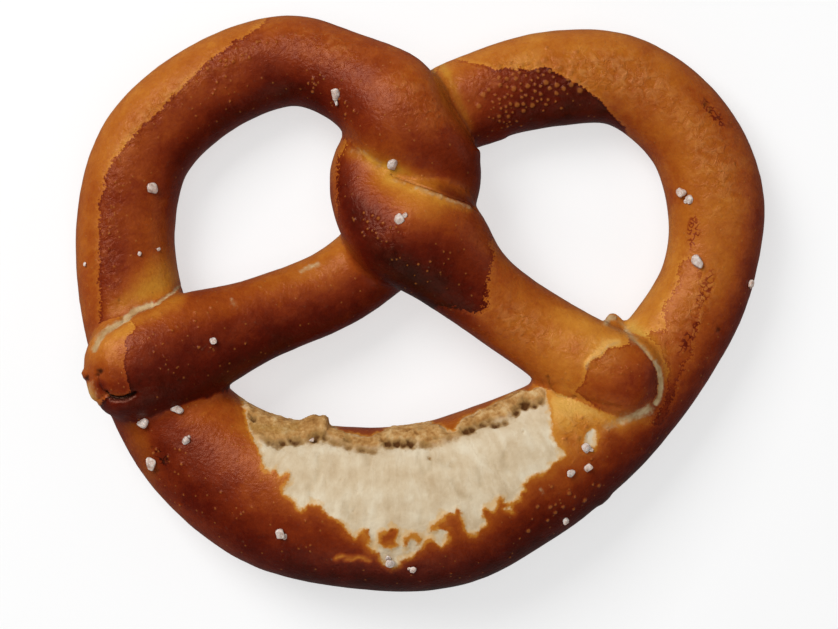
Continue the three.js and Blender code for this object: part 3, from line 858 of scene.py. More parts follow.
def refine(bm, survey, blisters):
    """Cuts the skin finer where it is torn, creased or blistered."""
    for wanted in (1, 2, 3):
        cuts = wanted_cuts(survey, np.array([v.co for v in bm.verts]), blisters)
        bm.verts.index_update()
        edges = [e for e in bm.edges if all(cuts[v.index] >= wanted for v in e.verts)]
        bmesh.ops.subdivide_edges(bm, edges=edges, cuts=1, use_grid_fill=True)
    bmesh.ops.triangulate(bm, faces=[f for f in bm.faces if len(f.verts) > 4])
    cuts = wanted_cuts(survey, np.array([v.co for v in bm.verts]), blisters)
    smooth(bm, [v for v, c in zip(bm.verts, cuts) if c > 0], 3)


def browned(place, degrees, spots):
    """Browning at each point: the mean of the values set at nearby spots."""
    stations, spread = BROWNING_REACH
    total, weights = np.zeros(len(place)), np.zeros(len(place))
    for p, d, value in spots:
        away = ((place - p) / stations) ** 2 + ((degrees - d) / spread) ** 2
        weight = np.exp(-away / 2) + 1e-5 * np.exp(-away / 30) + 1e-12
        total += weight * value
        weights += weight
    return total / weights


def patch_edges(place, column, row):
    """Signed distance in mm to the nearest patch edge, positive on its browner side, and how
    frayed that edge is."""
    edge, fray = np.full(len(place), FAR), np.zeros(len(place))
    for (start, end), browner, frayed, outline in PATCHES.values():
        distance = inside_distance(column, row, outline) * (1 if browner else -1)
        counts = (place > start) & (place < end) & (np.abs(distance) < np.abs(edge))
        edge = np.where(counts, distance, edge)
        fray = np.where(counts, frayed, fray)
    return edge, fray


TORN_RAMP = -0.2, 0.6  # mm inside the edge over which crust gives way to the torn dough
LIP_RAMP = -1.2, 1.1  # mm below the crevice over which the lip gives way to crumb
CRAG_HEIGHT = 0.42
BURN_DEPTH = 0.35
SMOOTH_SKIN = 0.08  # how wrinkled the crust is where it is smooth
CRUMB_SINKS = (-0.3, 0.9), (1, 6)  # mm inside the edge over which it sinks, by half each
PEAK_CALM = 0.8  # how far the crags level off on the peak
BLISTERS_END = -0.4  # mm inside the tear's edge
WRINKLES_END = -0.2, -1.5
SPOT_ROUGHNESS = 1.4  # how much more burnt spots wander than pits
SPOT_END = 3  # spot sizes from its middle at which a burnt spot has gone
ON_TABLE = 0.4 * MM
BOX_MARGIN = 1e-5  # metres: how far the skin stays inside the solid's box
SIDE_BASE = 1.8 * MM, 0.3 * MM  # heights between which the side turns to the base
LOW_SIDE = 7 * MM, 3.5 * MM  # heights between which the patches' edges come to wander
UPWARD = -0.3, 0.2  # slopes between which the skin turns to the upper side
DOWNWARD = -0.4, -0.9  # slopes between which the skin turns to the underside
BASE_SHIFT = 9  # mm: keeps the patches' frayed edges off the base


def torn_relief(points, place, degrees, column, row, along, around):
    """Relief of the split in mm, and what is written of it on each point: the depth in mm inside
    the tear, from 0 to 1 how much it is lip or crags, and how dark its hollows and folds are
    painted as shade."""
    torn = torn_depth(place, degrees, column, row) + uneven(points, *TORN_EDGE)
    in_split = step(torn, *TORN_RAMP)
    below = below_crevice(column, row) + uneven(points, *CREVICE_WANDER)
    lip = in_split * (1 - step(below, *LIP_RAMP))
    crumb = in_split - lip
    # The crevice's share both sinks it and, with the pits, sets the brown painted there as shade.
    hollow = 0.3 * nearby(line_distance(column, row, CREVICE), 0, CREVICE_WIDTH)
    hollow *= (1 + uneven(points, *CREVICE_CHANGES)) * in_split
    wander = uneven(points, *SPOT_WANDER)
    pits, creased = np.zeros(len(points)), np.zeros(len(points))
    for c, r, across, down, share in PITS:
        gap = np.hypot((column - c) / across, (row - r) / down) + wander
        pits = np.maximum(pits, share * nearby(np.maximum(gap, 0), 0, 1) * in_split)
    for fold in FOLDS:
        gap = line_distance(column, row, fold)
        creased = np.maximum(creased, nearby(gap, 0, FOLD_WIDTH) * crumb)

    past = place - PEAK["place"]
    past = np.where(past < 0, np.abs(past / PEAK["rise"]) ** 3, (past / PEAK["fall"]) ** 6)
    peak = np.exp(-past) * nearby(degrees, PEAK["degrees"], PEAK["spread"])
    flakes = 0.4 - 2 * np.abs(stretched(along, around, *FLAKES))
    crags = 0.5 * flakes + uneven(points, *CRAGS)
    fibres = 0.1 * stretched(along, around, *FIBRES) + uneven(points, *CRUMB_HUMPS)
    sunken = sum(0.5 * step(torn, *sinks) for sinks in CRUMB_SINKS)

    push = in_split * LIP_HEIGHT * nearby(degrees, LIP_MIDDLE, LIP_WIDTH)
    push += PEAK["height"] * peak
    push += lip * CRAG_HEIGHT * crags * (1 - PEAK_CALM * peak)
    push += crumb * (fibres - CRUMB_DEPTH * sunken)
    push -= CREVICE_DEPTH * hollow + FOLD_DEPTH * creased + PIT_DEPTH * pits
    # hollow is how dark the crevice and pits are painted as shade, creased how dark the folds are.
    return push, {
        "torn": torn, "lip": lip, "crags": crags, "hollow": np.clip(hollow + pits, 0, 1),
        "creased": creased,
    }


def crust_relief(points, place, degrees, column, row, along, around, torn, upper, blisters):
    """Relief of the crust in mm, and how much each point is wrinkle, seam or blister, and how dark
    it is painted: shade in creases, torn holes and the crevice beside the lobe, and burnt colour
    on the other spots.
    """
    push = uneven(points, *SWELLS)
    dents = np.column_stack([uneven(points, *layer) for layer in BLISTER_DENTS]) * MM
    bump = blister_bumps(points + dents, *blisters)[0] * (torn < BLISTERS_END)
    push += BLISTER_HEIGHT * np.sqrt(np.clip(bump, 0, 1)) * np.mean(BLISTER_SIZES)
    for width, height, line in RIDGES:
        push += height * nearby(line_distance(column, row, line), 0, width) * upper
    wrinkled = np.full(len(points), SMOOTH_SKIN)
    for p, d, stations, spread, amount in WRINKLED:
        reach = nearby(place, p, stations) * nearby(degrees, d, spread)
        wrinkled = np.maximum(wrinkled, amount * reach)
    wrinkled *= step(torn, *WRINKLES_END)
    rumples = 0.35 - 2 * np.abs(stretched(along, around, *RUMPLES))
    push += wrinkled * (0.15 * rumples + uneven(points, *RUMPLED))

    seam, crease = np.zeros(len(points)), np.zeros(len(points))
    wander = uneven(points, *SEAM_WANDER)
    for width, depth, pale, line in PALE_SEAMS.values():
        share = nearby(line_distance(column, row, line) + wander, 0, width) * upper
        push -= depth * share
        seam = np.maximum(seam, pale * share)
    # Creases sink, and are painted dark as the shade that falls in them.
    for width, depth, dark, line in SHADED_CREASES.values():
        share = nearby(line_distance(column, row, line) + 0.4 * wander, 0, width) * upper
        push -= depth * share
        crease = np.maximum(crease, dark * share)
    wander = SPOT_ROUGHNESS * uneven(points, *SPOT_WANDER)
    # Spots sink, and are painted dark: burnt colour, and shade in torn holes.
    for c, r, across, down, share in BURNT_AND_SHADED_SPOTS:
        gap = np.hypot((column - c) / across, (row - r) / down) + wander
        spot = nearby(np.maximum(gap, 0), 0, 1) * (gap < SPOT_END) * upper
        push -= BURN_DEPTH * share * spot
        crease = np.maximum(crease, share * spot)
    return push, {
        "wrinkled": wrinkled, "seam": seam, "crease": crease, "blister": np.clip(bump, 0, 1),
    }


def crust_browning(points, normals, place, degrees, column, row, upper):
    """The crust's browning on either side of the patches' edges, which wander where they run
    down the sides, and how olive or scorched it is."""
    edge, fray = patch_edges(place, column, row)
    edge += uneven(points, *LOW_EDGE_WANDER) * step(points[:, 2], *LOW_SIDE)
    spot_place, spot_degrees, _ = np.array(BROWNING).T
    spot_edge = patch_edges(spot_place, *seen(skin(spot_place, spot_degrees)))[0]
    dark = browned(place, degrees, [s for s, e in zip(BROWNING, spot_edge) if e > 0])
    light = browned(place, degrees, [s for s, e in zip(BROWNING, spot_edge) if e < 0 or e == FAR])
    olive, scorch = np.zeros(len(points)), np.zeros(len(points))
    for start, end, width, change, turned, line in SHADES:
        shade = nearby(line_distance(column, row, line), 0, width) * upper
        shade *= (place > start) & (place < end)
        dark += change * shade
        light += change * shade
        olive += turned * shade
    base = np.maximum(step(points[:, 2], *SIDE_BASE), step(normals[:, 2], *DOWNWARD))
    dark += (BASE_BROWNING - dark) * base
    light += (BASE_BROWNING - light) * base
    edge += np.sign(edge) * BASE_SHIFT * base
    for p, d, stations, spread in SCORCHED:
        scorch = np.maximum(scorch, nearby(place, p, stations) * nearby(degrees, d, spread))
    return {
        "dark": dark, "light": light, "edge": edge, "fray": fray, "olive": np.clip(olive, 0, 1),
        "scorch": scorch,
    }


def shape_dough():
    """The finished dough, with what its material needs to know written on its points."""
    tube = rope_tube()
    survey = Survey(tube)
    bm = fused(tube)
    tube.free()
    blisters = drawn_blisters()
    refine(bm, survey, blisters)
    bm.normal_update()
    points = np.array([v.co for v in bm.verts])
    normals = np.array([v.normal for v in bm.verts])
    place, degrees = survey.spots(points)
    where = points, place, degrees, *seen(points)
    along, around = place * STATION_MM, degrees * DEGREE_MM
    upper = step(normals[:, 2], *UPWARD)

    push, written = torn_relief(*where, along, around)
    more, marks = crust_relief(*where, along, around, written["torn"], upper, blisters)
    written |= marks | crust_browning(points, normals, *where[1:], upper)
    moved = points + normals * ((push + more) * MM)[:, None]
    on_table = points[:, 2] < ON_TABLE
    moved[on_table, 2] = points[on_table, 2]
    low, high = (np.array(corner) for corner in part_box("pretzel"))
    moved = np.clip(moved, low + BOX_MARGIN, high - BOX_MARGIN)
    for vert, point in zip(bm.verts, moved):
        vert.co = point

    mesh = bpy.data.meshes.new("pretzel_dough")
    bm.to_mesh(mesh)
    bm.free()
    for name in WRITTEN:
        layer = mesh.attributes.new(name, "FLOAT", "POINT")
        layer.data.foreach_set("value", written[name].astype(np.float32))
    layer = mesh.attributes.new("grain", "FLOAT_VECTOR", "POINT")
    flat = np.column_stack([along, around, np.zeros(len(along))]).astype(np.float32)
    layer.data.foreach_set("vector", flat.ravel())
    mesh.shade_smooth()
    return mesh


# ---- crust and crumb ------------------------------------------------------------------------

CRUST_COLOURS = (  # browning, colour
    (0.0, "#d89e4c"), (0.15, "#c57f2c"), (0.3, "#ad601c"), (0.45, "#944212"), (0.6, "#74260b"),
    (0.75, "#531105"), (0.9, "#340903"), (1.0, "#200603"),
)
CRUMB_COLOURS = (0.3, "#bfa683"), (0.5, "#d2be9e"), (0.68, "#e0d2b7")
TOAST_COLOURS = (0.15, "#85592b"), (0.4, "#aa7b44"), (0.6, "#c0955e"), (0.85, "#d6b886")
SEAM_COLOURS = (0.3, "#a27f53"), (0.5, "#b6976b"), (0.7, "#ccb48a")
SHIELDED = (0.75, 1.0, 0.6, 1)  # what shielding leaves of the crust's red, green and blue
# Tan of dry wrinkled skin, painted also as its sheen.
DRY_SKIN_AND_SHEEN = "#c98b62"
# Gold of the specks painted as glints.
GLINT_SPECK = "#a8682c"
BLISTER = "#a86228"
# Dark painted as shade in creases and torn holes, and on burnt spots.
SHADE_AND_BURN_COLOUR = "#200b04"
THIN_CRUST = "#9e4a0d"
THINNEST_CRUST = "#c2802b"
# Grey-beige painted as shade in the crumb's folds.
FOLD_SHADE = "#a18a66"
SHIELDED_LIP = "#98702a"
# Brown painted as shade in the crevice and pits, and its darkest.
HOLLOW_SHADE = "#94703f"
DEEPEST_HOLLOW_SHADE = "#4f2c10"
STAIN = "#cfa05a"

# What shape_dough writes on the dough's points.
WRITTEN = (
    "dark", "light", "edge", "fray", "torn", "lip", "crags", "hollow", "creased", "seam",
    "crease", "blister", "scorch", "wrinkled", "olive",
)
# Noise that mottles, frays and roughens the surface: size in mm, detail and warp.
NOISES = {
    "broad": (7.0, 4.0, 0.0), "blotchy": (2.2, 3.0, 0.6), "speckled": (0.7, 2.0, 0.0),
    "teeth": (0.55, 2.0, 0.0), "ragged": (1.3, 2.0, 0.0), "worms": (1.4, 1.0, 0.0),
    "soft": (2.8, 2.0, 0.0), "cloudy": (5.0, 3.0, 0.0), "rippled": (1.9, 5.0, 0.8),
    "swollen": (3.4, 2.0, 0.0),
}
# Lines left along a patch's edge: where they start, peak and end in mm inside it, and browning.
EDGE_LINES = (-0.1, 0.12, 0.6, 0.12), (-1.2, -0.2, 0, -0.07)
GLINT_SPECK_SPACING = 2.1  # mm
FIBRE_WIDTH = 2.4  # mm
FIBRE_STRETCH = 0.3


def browning(tree, noises, marks):
    """How brown the crust is, and where its wrinkled skin is paler: dry skin, and painted sheen."""
    # A frayed drop at the patches' edges, with a darker line inside and a paler one outside it.
    frayed = add(tree, "Math", {0: noises.teeth, 1: 3.8, 2: -2.5}, operation="MULTIPLY_ADD")
    frayed = add(tree, "Math", {0: noises.ragged, 1: 1.2, 2: frayed}, operation="MULTIPLY_ADD")
    frayed = add(tree, "Math", {0: frayed, 1: marks.fray, 2: marks.edge}, operation="MULTIPLY_ADD")
    width = add(tree, "Math", {0: marks.fray, 1: 0.35, 2: 0.12}, operation="MULTIPLY_ADD")
    inside = add(tree, "Math", {0: frayed, 1: width}, operation="DIVIDE")
    inside = add(tree, "MapRange", {"Value": inside, 1: -1, 2: 1}, **SMOOTH)
    level = add(tree, "Mix", {0: inside, 2: marks.light, 3: marks.dark}, data_type="FLOAT")
    for start, peak, end, change in EDGE_LINES:
        rise = add(tree, "MapRange", {"Value": frayed, 1: start, 2: peak}, **SMOOTH)
        fall = add(tree, "MapRange", {"Value": frayed, 1: peak, 2: end, 3: 1, 4: 0}, **SMOOTH)
        line = add(tree, "Math", {0: rise, 1: fall}, operation="MULTIPLY")
        level = add(tree, "Math", {0: line, 1: change, 2: level}, operation="MULTIPLY_ADD")

    # Mottling about the level, dry wrinkles painted paler as dry skin and as sheen, scorched lines,
    # and paler crust beside the tear.
    for mottling, swing in ((noises.broad, 0.3), (noises.blotchy, 0.14), (noises.speckled, 0.1)):
        level = add(tree, "Math", {0: mottling, 1: swing, 2: level}, operation="MULTIPLY_ADD")
    level = add(tree, "Math", {0: level, 1: 0.27}, operation="SUBTRACT")
    # Wrinkled skin painted paler: partly dry skin, partly painted sheen.
    dry_and_sheen = add(tree, "MapRange", {"Value": noises.rippled, 1: 0.42, 2: 0.62}, **SMOOTH)
    dry_and_sheen = add(tree, "Math", {0: dry_and_sheen, 1: marks.wrinkled}, operation="MULTIPLY")
    level = add(tree, "Math", {0: dry_and_sheen, 1: -0.07, 2: level}, operation="MULTIPLY_ADD")
    line = add(tree, "Math", {0: noises.worms, 1: 0.5}, operation="SUBTRACT")
    line = add(tree, "Math", {0: line}, operation="ABSOLUTE")
    line = add(tree, "MapRange", {"Value": line, 1: 0.03, 2: 0.075, 3: 1, 4: 0}, **SMOOTH)
    scorched = add(tree, "MapRange", {"Value": marks.scorch, 1: 0.25, 2: 0.6}, **SMOOTH)
    scorched = add(tree, "Math", {0: line, 1: scorched}, operation="MULTIPLY")
    level = add(tree, "Math", {0: scorched, 1: 0.24, 2: level}, operation="MULTIPLY_ADD")
    beside = add(tree, "MapRange", {"Value": marks.torn, 1: -3.0, 2: -0.4, 4: 0.09}, **SMOOTH)
    level = add(tree, "Math", {0: level, 1: beside}, operation="SUBTRACT")
    return level, dry_and_sheen


def crust_colour(tree, noises, marks, glint_speck, puffed, tear, thinned):
    """Gold to chestnut by its browning: olive where it was shielded, tan where its wrinkled skin is
    dry and painted with sheen, golden in specks painted as glints and on blisters, pale in torn
    seams, dark in creases and torn holes painted as shade and on burnt spots, and thinned to
    orange, then yellow, before the crumb starts."""
    level, dry_and_sheen = browning(tree, noises, marks)
    colour = add(tree, "ValToRGB", {"Fac": level}, stops=CRUST_COLOURS)
    colour = add(
        tree, "Mix", {0: marks.olive, 6: colour, 7: SHIELDED}, blend_type="MULTIPLY", **COLOURS
    )
    # Wrinkled skin painted tan where the crust is lighter: dry skin and painted sheen.
    dry_sheen_share = add(tree, "MapRange", {"Value": level, 1: 0.3, 2: 0.6, 3: 0.22, 4: 0.05}, **SMOOTH)
    dry_sheen_share = add(tree, "Math", {0: dry_and_sheen, 1: dry_sheen_share}, operation="MULTIPLY")
    seam_colour = add(tree, "ValToRGB", {"Fac": noises.soft}, stops=SEAM_COLOURS)
    # Painted shade in creases and torn holes, and burnt spots.
    shade_and_burn = add(tree, "MapRange", {"Value": marks.crease, 1: 0.1, 2: 1}, **SMOOTH)
    orange = add(tree, "MapRange", {"Value": thinned, 1: -1.5, 2: -0.4, 4: 0.6}, **SMOOTH)
    browner = add(tree, "MapRange", {"Value": level, 1: 0.2, 2: 0.42}, **SMOOTH)
    orange = add(tree, "Math", {0: orange, 1: browner}, operation="MULTIPLY")
    waning = add(tree, "Math", {0: noises.soft, 1: 2.0, 2: -0.85}, operation="MULTIPLY_ADD")
    waning = add(tree, "Math", {0: waning, 1: thinned}, operation="ADD")
    yellow = add(tree, "MapRange", {"Value": waning, 1: -0.7, 2: 0.1, 4: 0.8}, **SMOOTH)
    for share, over in (
        (dry_sheen_share, linear(DRY_SKIN_AND_SHEEN)), (glint_speck, linear(GLINT_SPECK)), (puffed, linear(BLISTER)),
        (tear, seam_colour), (shade_and_burn, linear(SHADE_AND_BURN_COLOUR)), (orange, linear(THIN_CRUST)),
        (yellow, linear(THINNEST_CRUST)),
    ):
        colour = add(tree, "Mix", {0: share, 6: colour, 7: over}, **COLOURS)
    return colour


def bare_colour(tree, noises, marks, fibre, thinned):
    """Pale crumb, faintly streaked across the rope and stained beside the crust, its folds painted
    greyer as shade. The lip is toasted in soft blotches. The crevice and pits are painted brown
    as shade."""
    streaks = add(tree, "Mix", {0: 0.3, 2: noises.cloudy, 3: fibre}, data_type="FLOAT")
    crumb = add(tree, "ValToRGB", {"Fac": streaks}, stops=CRUMB_COLOURS)
    # Folds in the crumb painted greyer as their shade.
    painted_fold_shade = add(tree, "Math", {0: marks.creased, 1: 0.3}, operation="MULTIPLY")
    crumb = add(tree, "Mix", {0: painted_fold_shade, 6: crumb, 7: linear(FOLD_SHADE)}, **COLOURS)
    toasted = add(tree, "Math", {0: marks.crags, 1: 0.3, 2: 0.05}, operation="MULTIPLY_ADD")
    toasted = add(tree, "Math", {0: noises.soft, 1: 0.6, 2: toasted}, operation="MULTIPLY_ADD")
    toasted = add(tree, "Math", {0: noises.speckled, 1: 0.5, 2: toasted}, operation="MULTIPLY_ADD")
    toasted = add(tree, "Math", {0: toasted, 1: 0.1}, operation="SUBTRACT")
    toast = add(tree, "ValToRGB", {"Fac": toasted}, stops=TOAST_COLOURS)
    toast = add(tree, "Mix", {0: marks.olive, 6: toast, 7: linear(SHIELDED_LIP)}, **COLOURS)
    colour = add(tree, "Mix", {0: marks.lip, 6: crumb, 7: toast}, **COLOURS)
    # Shade painted in the crevice and pits: brown, darkest where they are deepest, mottled by noise.
    sunken = add(tree, "Math", {0: noises.ragged, 1: 0.5, 2: -0.45}, operation="MULTIPLY_ADD")
    sunken = add(tree, "Math", {0: noises.speckled, 1: 0.4, 2: sunken}, operation="MULTIPLY_ADD")
    sunken = add(tree, "Math", {0: sunken, 1: marks.hollow}, operation="ADD")
    painted_shade = add(tree, "MapRange", {"Value": sunken, 1: 0.1, 2: 0.5, 4: 0.85}, **SMOOTH)
    deepest_painted_shade = add(tree, "MapRange", {"Value": sunken, 1: 0.42, 2: 0.95, 4: 0.95}, **SMOOTH)
    spread = add(tree, "Math", {0: noises.soft, 1: -4.5, 2: 2.3}, operation="MULTIPLY_ADD")
    spread = add(tree, "Math", {0: spread, 1: thinned}, operation="ADD")
    stained = add(tree, "MapRange", {"Value": spread, 1: 0.0, 2: 1.2, 3: 0.55, 4: 0}, **SMOOTH)
    crumb_share = add(tree, "Math", {0: 1.0, 1: marks.lip}, operation="SUBTRACT")
    stained = add(tree, "Math", {0: stained, 1: crumb_share}, operation="MULTIPLY")
    for share, over in ((painted_shade, HOLLOW_SHADE), (deepest_painted_shade, DEEPEST_HOLLOW_SHADE), (stained, STAIN)):
        colour = add(tree, "Mix", {0: share, 6: colour, 7: linear(over)}, **COLOURS)
    return colour


def fine_relief(tree, noises, marks, glint_speck, fibre, bare):
    """Relief too fine for the mesh, in metres: wrinkled skin, fibrous crumb, ragged lip."""
    depth = add(
        tree, "Math", {0: marks.wrinkled, 1: 0.75 * MM, 2: 0.06 * MM}, operation="MULTIPLY_ADD"
    )
    crust = add(tree, "Math", {0: noises.rippled, 1: depth}, operation="MULTIPLY")
    for relief, tall in ((noises.speckled, 0.1), (noises.swollen, 0.15), (glint_speck, 0.12)):
        crust = add(tree, "Math", {0: relief, 1: tall * MM, 2: crust}, operation="MULTIPLY_ADD")
    crumb = add(tree, "Math", {0: fibre, 1: 0.14 * MM}, operation="MULTIPLY")
    crumb = add(
        tree, "Math", {0: noises.speckled, 1: 0.1 * MM, 2: crumb}, operation="MULTIPLY_ADD"
    )
    lip = add(tree, "Math", {0: noises.ragged, 1: 0.4 * MM}, operation="MULTIPLY")
    split = add(tree, "Mix", {0: marks.lip, 2: crumb, 3: lip}, data_type="FLOAT")
    height = add(tree, "Mix", {0: bare, 2: crust, 3: split}, data_type="FLOAT")
    return add(tree, "Bump", {"Height": height, "Distance": 1.0, "Strength": 1.0})


def baked_crust():
    """Lye-dipped dough baked to a satin crust, with bare crumb where the belly tore open: the
    crust is glossy and mottled from gold to chestnut, the crumb matt, pale and fibrous."""
    material, tree, shader = new_material("baked_crust_and_crumb")
    at = add(tree, "TexCoord", out="Object")
    noises = SimpleNamespace(**{
        name: add(tree, "TexNoise", {
            "Vector": at, "Scale": 1 / (size * MM), "Detail": detail, "Roughness": 0.55,
            "Distortion": warp,
        })
        for name, (size, detail, warp) in NOISES.items()
    })
    marks = SimpleNamespace(**{
        name: add(tree, "Attribute", out="Fac", attribute_name=name) for name in WRITTEN
    })
    grain = add(tree, "Attribute", out="Vector", attribute_name="grain")
    streaked = add(tree, "Mapping", {
        "Vector": grain, "Scale": (1 / FIBRE_WIDTH, FIBRE_STRETCH / FIBRE_WIDTH, 1),
    })
    fibre = add(tree, "TexNoise", {
        "Vector": streaked, "Scale": 1.0, "Detail": 3.0, "Distortion": 1.2,
    })
    # Golden specks, raised as tiny blisters and painted as glints.
    glint_specks = add(tree, "TexVoronoi", {"Vector": at, "Scale": 1 / (GLINT_SPECK_SPACING * MM)})
    glint_speck = add(tree, "MapRange", {"Value": glint_specks, 1: 0.07, 2: 0.15, 3: 0.4, 4: 0}, **SMOOTH)
    puffed = add(tree, "MapRange", {"Value": marks.blister, 1: 0.05, 2: 0.6, 4: 0.6}, **SMOOTH)
    tear = add(tree, "Math", {0: noises.speckled, 1: 0.5, 2: -0.45}, operation="MULTIPLY_ADD")
    tear = add(tree, "Math", {0: noises.ragged, 1: 0.4, 2: tear}, operation="MULTIPLY_ADD")
    tear = add(tree, "Math", {0: tear, 1: marks.seam}, operation="ADD")
    tear = add(tree, "MapRange", {"Value": tear, 1: 0.08, 2: 0.75, 4: 0.95}, **SMOOTH)

    # How far the crust has thinned out towards the crumb, in mm, and where it has gone.
    thinned = add(tree, "Math", {0: noises.teeth, 1: 0.7, 2: -0.85}, operation="MULTIPLY_ADD")
    thinned = add(tree, "Math", {0: noises.ragged, 1: 1.0, 2: thinned}, operation="MULTIPLY_ADD")
    thinned = add(tree, "Math", {0: thinned, 1: marks.torn}, operation="ADD")
    bare = add(tree, "MapRange", {"Value": thinned, 1: -0.25, 2: 0.35}, **SMOOTH)

    crust = crust_colour(tree, noises, marks, glint_speck, puffed, tear, thinned)
    crumb = bare_colour(tree, noises, marks, fibre, thinned)
    colour = add(tree, "Mix", {0: bare, 6: crust, 7: crumb}, **COLOURS)
    satin = add(tree, "Math", {0: noises.soft, 1: 0.3, 2: 0.17}, operation="MULTIPLY_ADD")
    satin = add(tree, "Math", {0: puffed, 1: 0.1, 2: satin}, operation="MULTIPLY_ADD")
    satin = add(tree, "Math", {0: marks.wrinkled, 1: -0.08, 2: satin}, operation="MULTIPLY_ADD")
    matt = add(tree, "Math", {0: bare, 1: tear}, operation="MAXIMUM")
    roughness = add(tree, "Mix", {0: matt, 2: satin, 3: 0.9}, data_type="FLOAT")
    normal = fine_relief(tree, noises, marks, glint_speck, fibre, bare)

    tree.links.new(colour, shader.inputs["Base Color"])
    tree.links.new(roughness, shader.inputs["Roughness"])
    tree.links.new(normal, shader.inputs["Normal"])
    shader.inputs["IOR"].default_value = 1.45
    shader.inputs["Specular IOR Level"].default_value = 0.3
    shader.inputs["Specular Tint"].default_value = (1, 0.5, 0.34, 1)
    return material


# ---- coarse salt ----------------------------------------------------------------------------

# Each grain: place, degrees and length in mm.
SALT = (
    (8.9, 62, 3.2), (8.84, 53, 1.9), (12.5, 62, 3.3), (6.9, 47, 3.2), (32.0, 93, 3.2),
    (25.2, 47, 3.2), (25.05, 56, 2.4), (24.05, 70, 3.9), (23.97, 148, 2.2), (15.73, 132, 3.8),
    (15.42, 82, 3.4), (15.33, 113, 3.4), (15.8, 91, 2.4), (17.24, 111, 2.9), (21.07, 97, 2.8),
    (20.96, 111, 2.6), (20.73, 106, 2.4), (20.38, 144, 2.2), (18.63, 129, 2), (18.41, 122, 2.8),
    (2.27, 94, 2), (13.41, 71, 1.2), (13.35, 46, 1.2), (13.49, 134, 1.1), (17.32, 37, 1.3),
)
GRAIN_PROPORTIONS = (0.9, 0.74, 0.5)
GRAIN_SUNK = 0.1
BLOCKY = 0.72  # below 1 a grain is boxier than a ball
SIDE_CHANCE = 0.6  # how often a smaller crystal sticks to a grain's side
SIDE_SIZE = 0.55


def spot_frame(place, degrees):
    """X along the rope, Y round it, Z out of the dough, at a spot on the skin."""
    p, d = np.array([place, place + 0.05, place]), np.array([degrees, degrees, degrees + 1.0])
    here, ahead, aside = (Vector(v) for v in skin(p, d))
    x = (ahead - here).normalized()
    z = (aside - here).cross(ahead - here).normalized()
    y = z.cross(x)
    turn = Matrix((x, y, z)).transposed().to_4x4()
    return Matrix.Translation(here) @ turn


def crystal(bm, size, draw):
    """A lump of salt: a ball squared up, uneven, with its faces flattened here and there."""
    verts = bmesh.ops.create_icosphere(bm, subdivisions=3, radius=1)["verts"]
    chips = [
        (Vector([draw.gauss(0, 1) for _ in range(3)]).normalized(), draw.uniform(0.6, 0.85))
        for _ in range(6)
    ]
    for vert in verts:
        vert.co = Vector([math.copysign(abs(c) ** BLOCKY, c) for c in vert.co]) * 0.5
        for direction, reach in chips:
            past = vert.co.dot(direction) - reach / 2
            vert.co -= direction * max(past, 0)
        vert.co *= draw.uniform(0.97, 1.03)
    bmesh.ops.scale(bm, vec=size, verts=verts)
    return verts


def salt_grains():
    draw = random.Random(20)
    bm = bmesh.new()
    tint = bm.verts.layers.float.new("tint")
    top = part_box("pretzel")[1][2]
    for place, degrees, length in SALT:
        here = spot_frame(place, degrees)
        crystals = [(1.0, 0.0)]
        if draw.random() < SIDE_CHANCE:
            crystals.append((SIDE_SIZE, 0.4))
        shade = draw.random()
        for share, reach in crystals:
            size = [share * part * length * MM * draw.uniform(0.85, 1) for part in GRAIN_PROPORTIONS]
            verts = crystal(bm, size, draw)
            tilt = (draw.uniform(-0.3, 0.3), draw.uniform(-0.3, 0.3), 1)
            turn = Matrix.Rotation(draw.uniform(0, math.tau), 4, tilt)
            angle = draw.uniform(0, math.tau)
            aside = reach * length * MM
            lift = (share * GRAIN_PROPORTIONS[2] / 2 - GRAIN_SUNK) * length * MM
            off = Matrix.Translation((aside * math.cos(angle), aside * math.sin(angle), lift))
            bmesh.ops.transform(bm, matrix=here @ off @ turn, verts=verts)
            over = max(v.co.z for v in verts) - top + BOX_MARGIN
            bmesh.ops.translate(bm, vec=(0, 0, -max(over, 0)), verts=verts)
            for vert in verts:
                vert[tint] = shade
    bmesh.ops.recalc_face_normals(bm, faces=bm.faces)
    mesh = bpy.data.meshes.new("salt")
    bm.to_mesh(mesh)
    bm.free()
    mesh.shade_smooth()
    return mesh


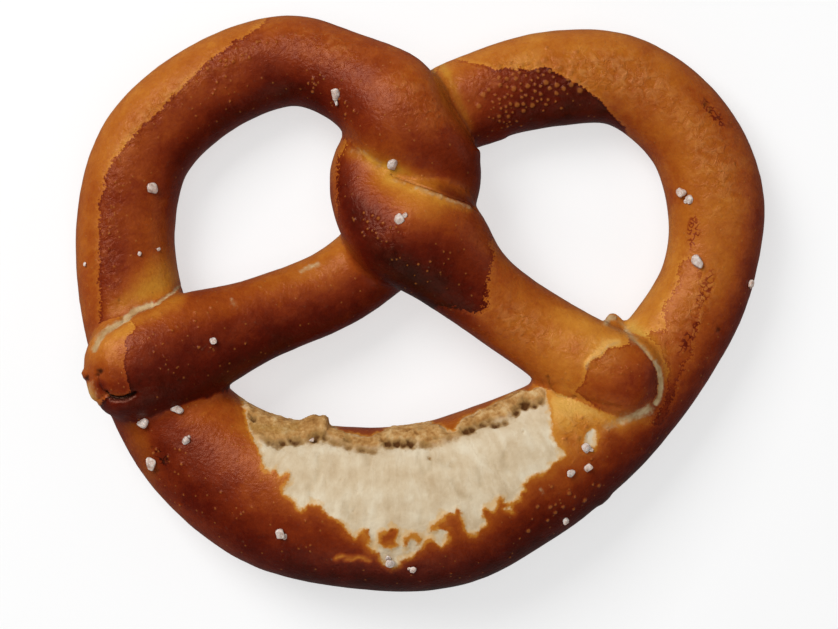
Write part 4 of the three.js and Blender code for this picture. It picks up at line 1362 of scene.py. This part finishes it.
def pretzel_salt():
    """Compacted pretzel salt: chalky white lumps, slightly see-through at their edges, some
    stained by the crust's syrupy lye."""
    material, tree, shader = new_material("pretzel_salt")
    at = add(tree, "TexCoord", out="Object")
    tint = add(tree, "Attribute", out="Fac", attribute_name="tint")
    speck = add(tree, "TexNoise", {"Vector": at, "Scale": 1 / (0.9 * MM), "Detail": 2.0})
    stained = add(tree, "ValToRGB", {"Fac": speck}, stops=(
        (0.3, "#a98573"), (0.5, "#c9ae9e"), (0.7, "#e0d2c7"),
    ))
    clean = add(tree, "ValToRGB", {"Fac": speck}, stops=(
        (0.3, "#b8a498"), (0.5, "#d0c0b6"), (0.7, "#e6dcd4"),
    ))
    colour = add(tree, "Mix", {0: tint, 6: stained, 7: clean}, **COLOURS)
    normal = add(tree, "Bump", {"Height": speck, "Distance": 0.15 * MM, "Strength": 1.0})
    tree.links.new(colour, shader.inputs["Base Color"])
    tree.links.new(normal, shader.inputs["Normal"])
    shader.inputs["Roughness"].default_value = 0.5
    shader.inputs["IOR"].default_value = 1.54
    shader.inputs["Subsurface Weight"].default_value = 0.4
    shader.inputs["Subsurface Radius"].default_value = (1, 0.8, 0.7)
    shader.inputs["Subsurface Scale"].default_value = 0.8 * MM
    return material


# ---- pieces and table -----------------------------------------------------------------------


def piece(name, mesh, material):
    made = bpy.data.objects.new(name, mesh)
    mesh.materials.append(material)
    bpy.context.scene.collection.objects.link(made)
    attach(made, "root")
    return made


def put_table():
    bm = bmesh.new()
    bmesh.ops.create_grid(bm, x_segments=1, y_segments=1, size=1.5)
    bmesh.ops.translate(bm, vec=(0, 0, -0.2 * MM), verts=bm.verts)
    mesh = bpy.data.meshes.new("table")
    bm.to_mesh(mesh)
    bm.free()
    table = bpy.data.objects.new("table", mesh)
    bpy.context.scene.collection.objects.link(table)
    material, _, shader = new_material("white_table")
    shader.inputs["Base Color"].default_value = linear("#a8a8a8")
    shader.inputs["Roughness"].default_value = 0.9
    shader.inputs["Emission Color"].default_value = (1, 1, 1, 1)
    shader.inputs["Emission Strength"].default_value = 0.6
    mesh.materials.append(material)
    table.visible_glossy = False


put_camera()
put_lights()
put_table()

dough = piece("dough", shape_dough(), baked_crust())
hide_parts("pretzel")
piece("salt", salt_grains(), pretzel_salt())
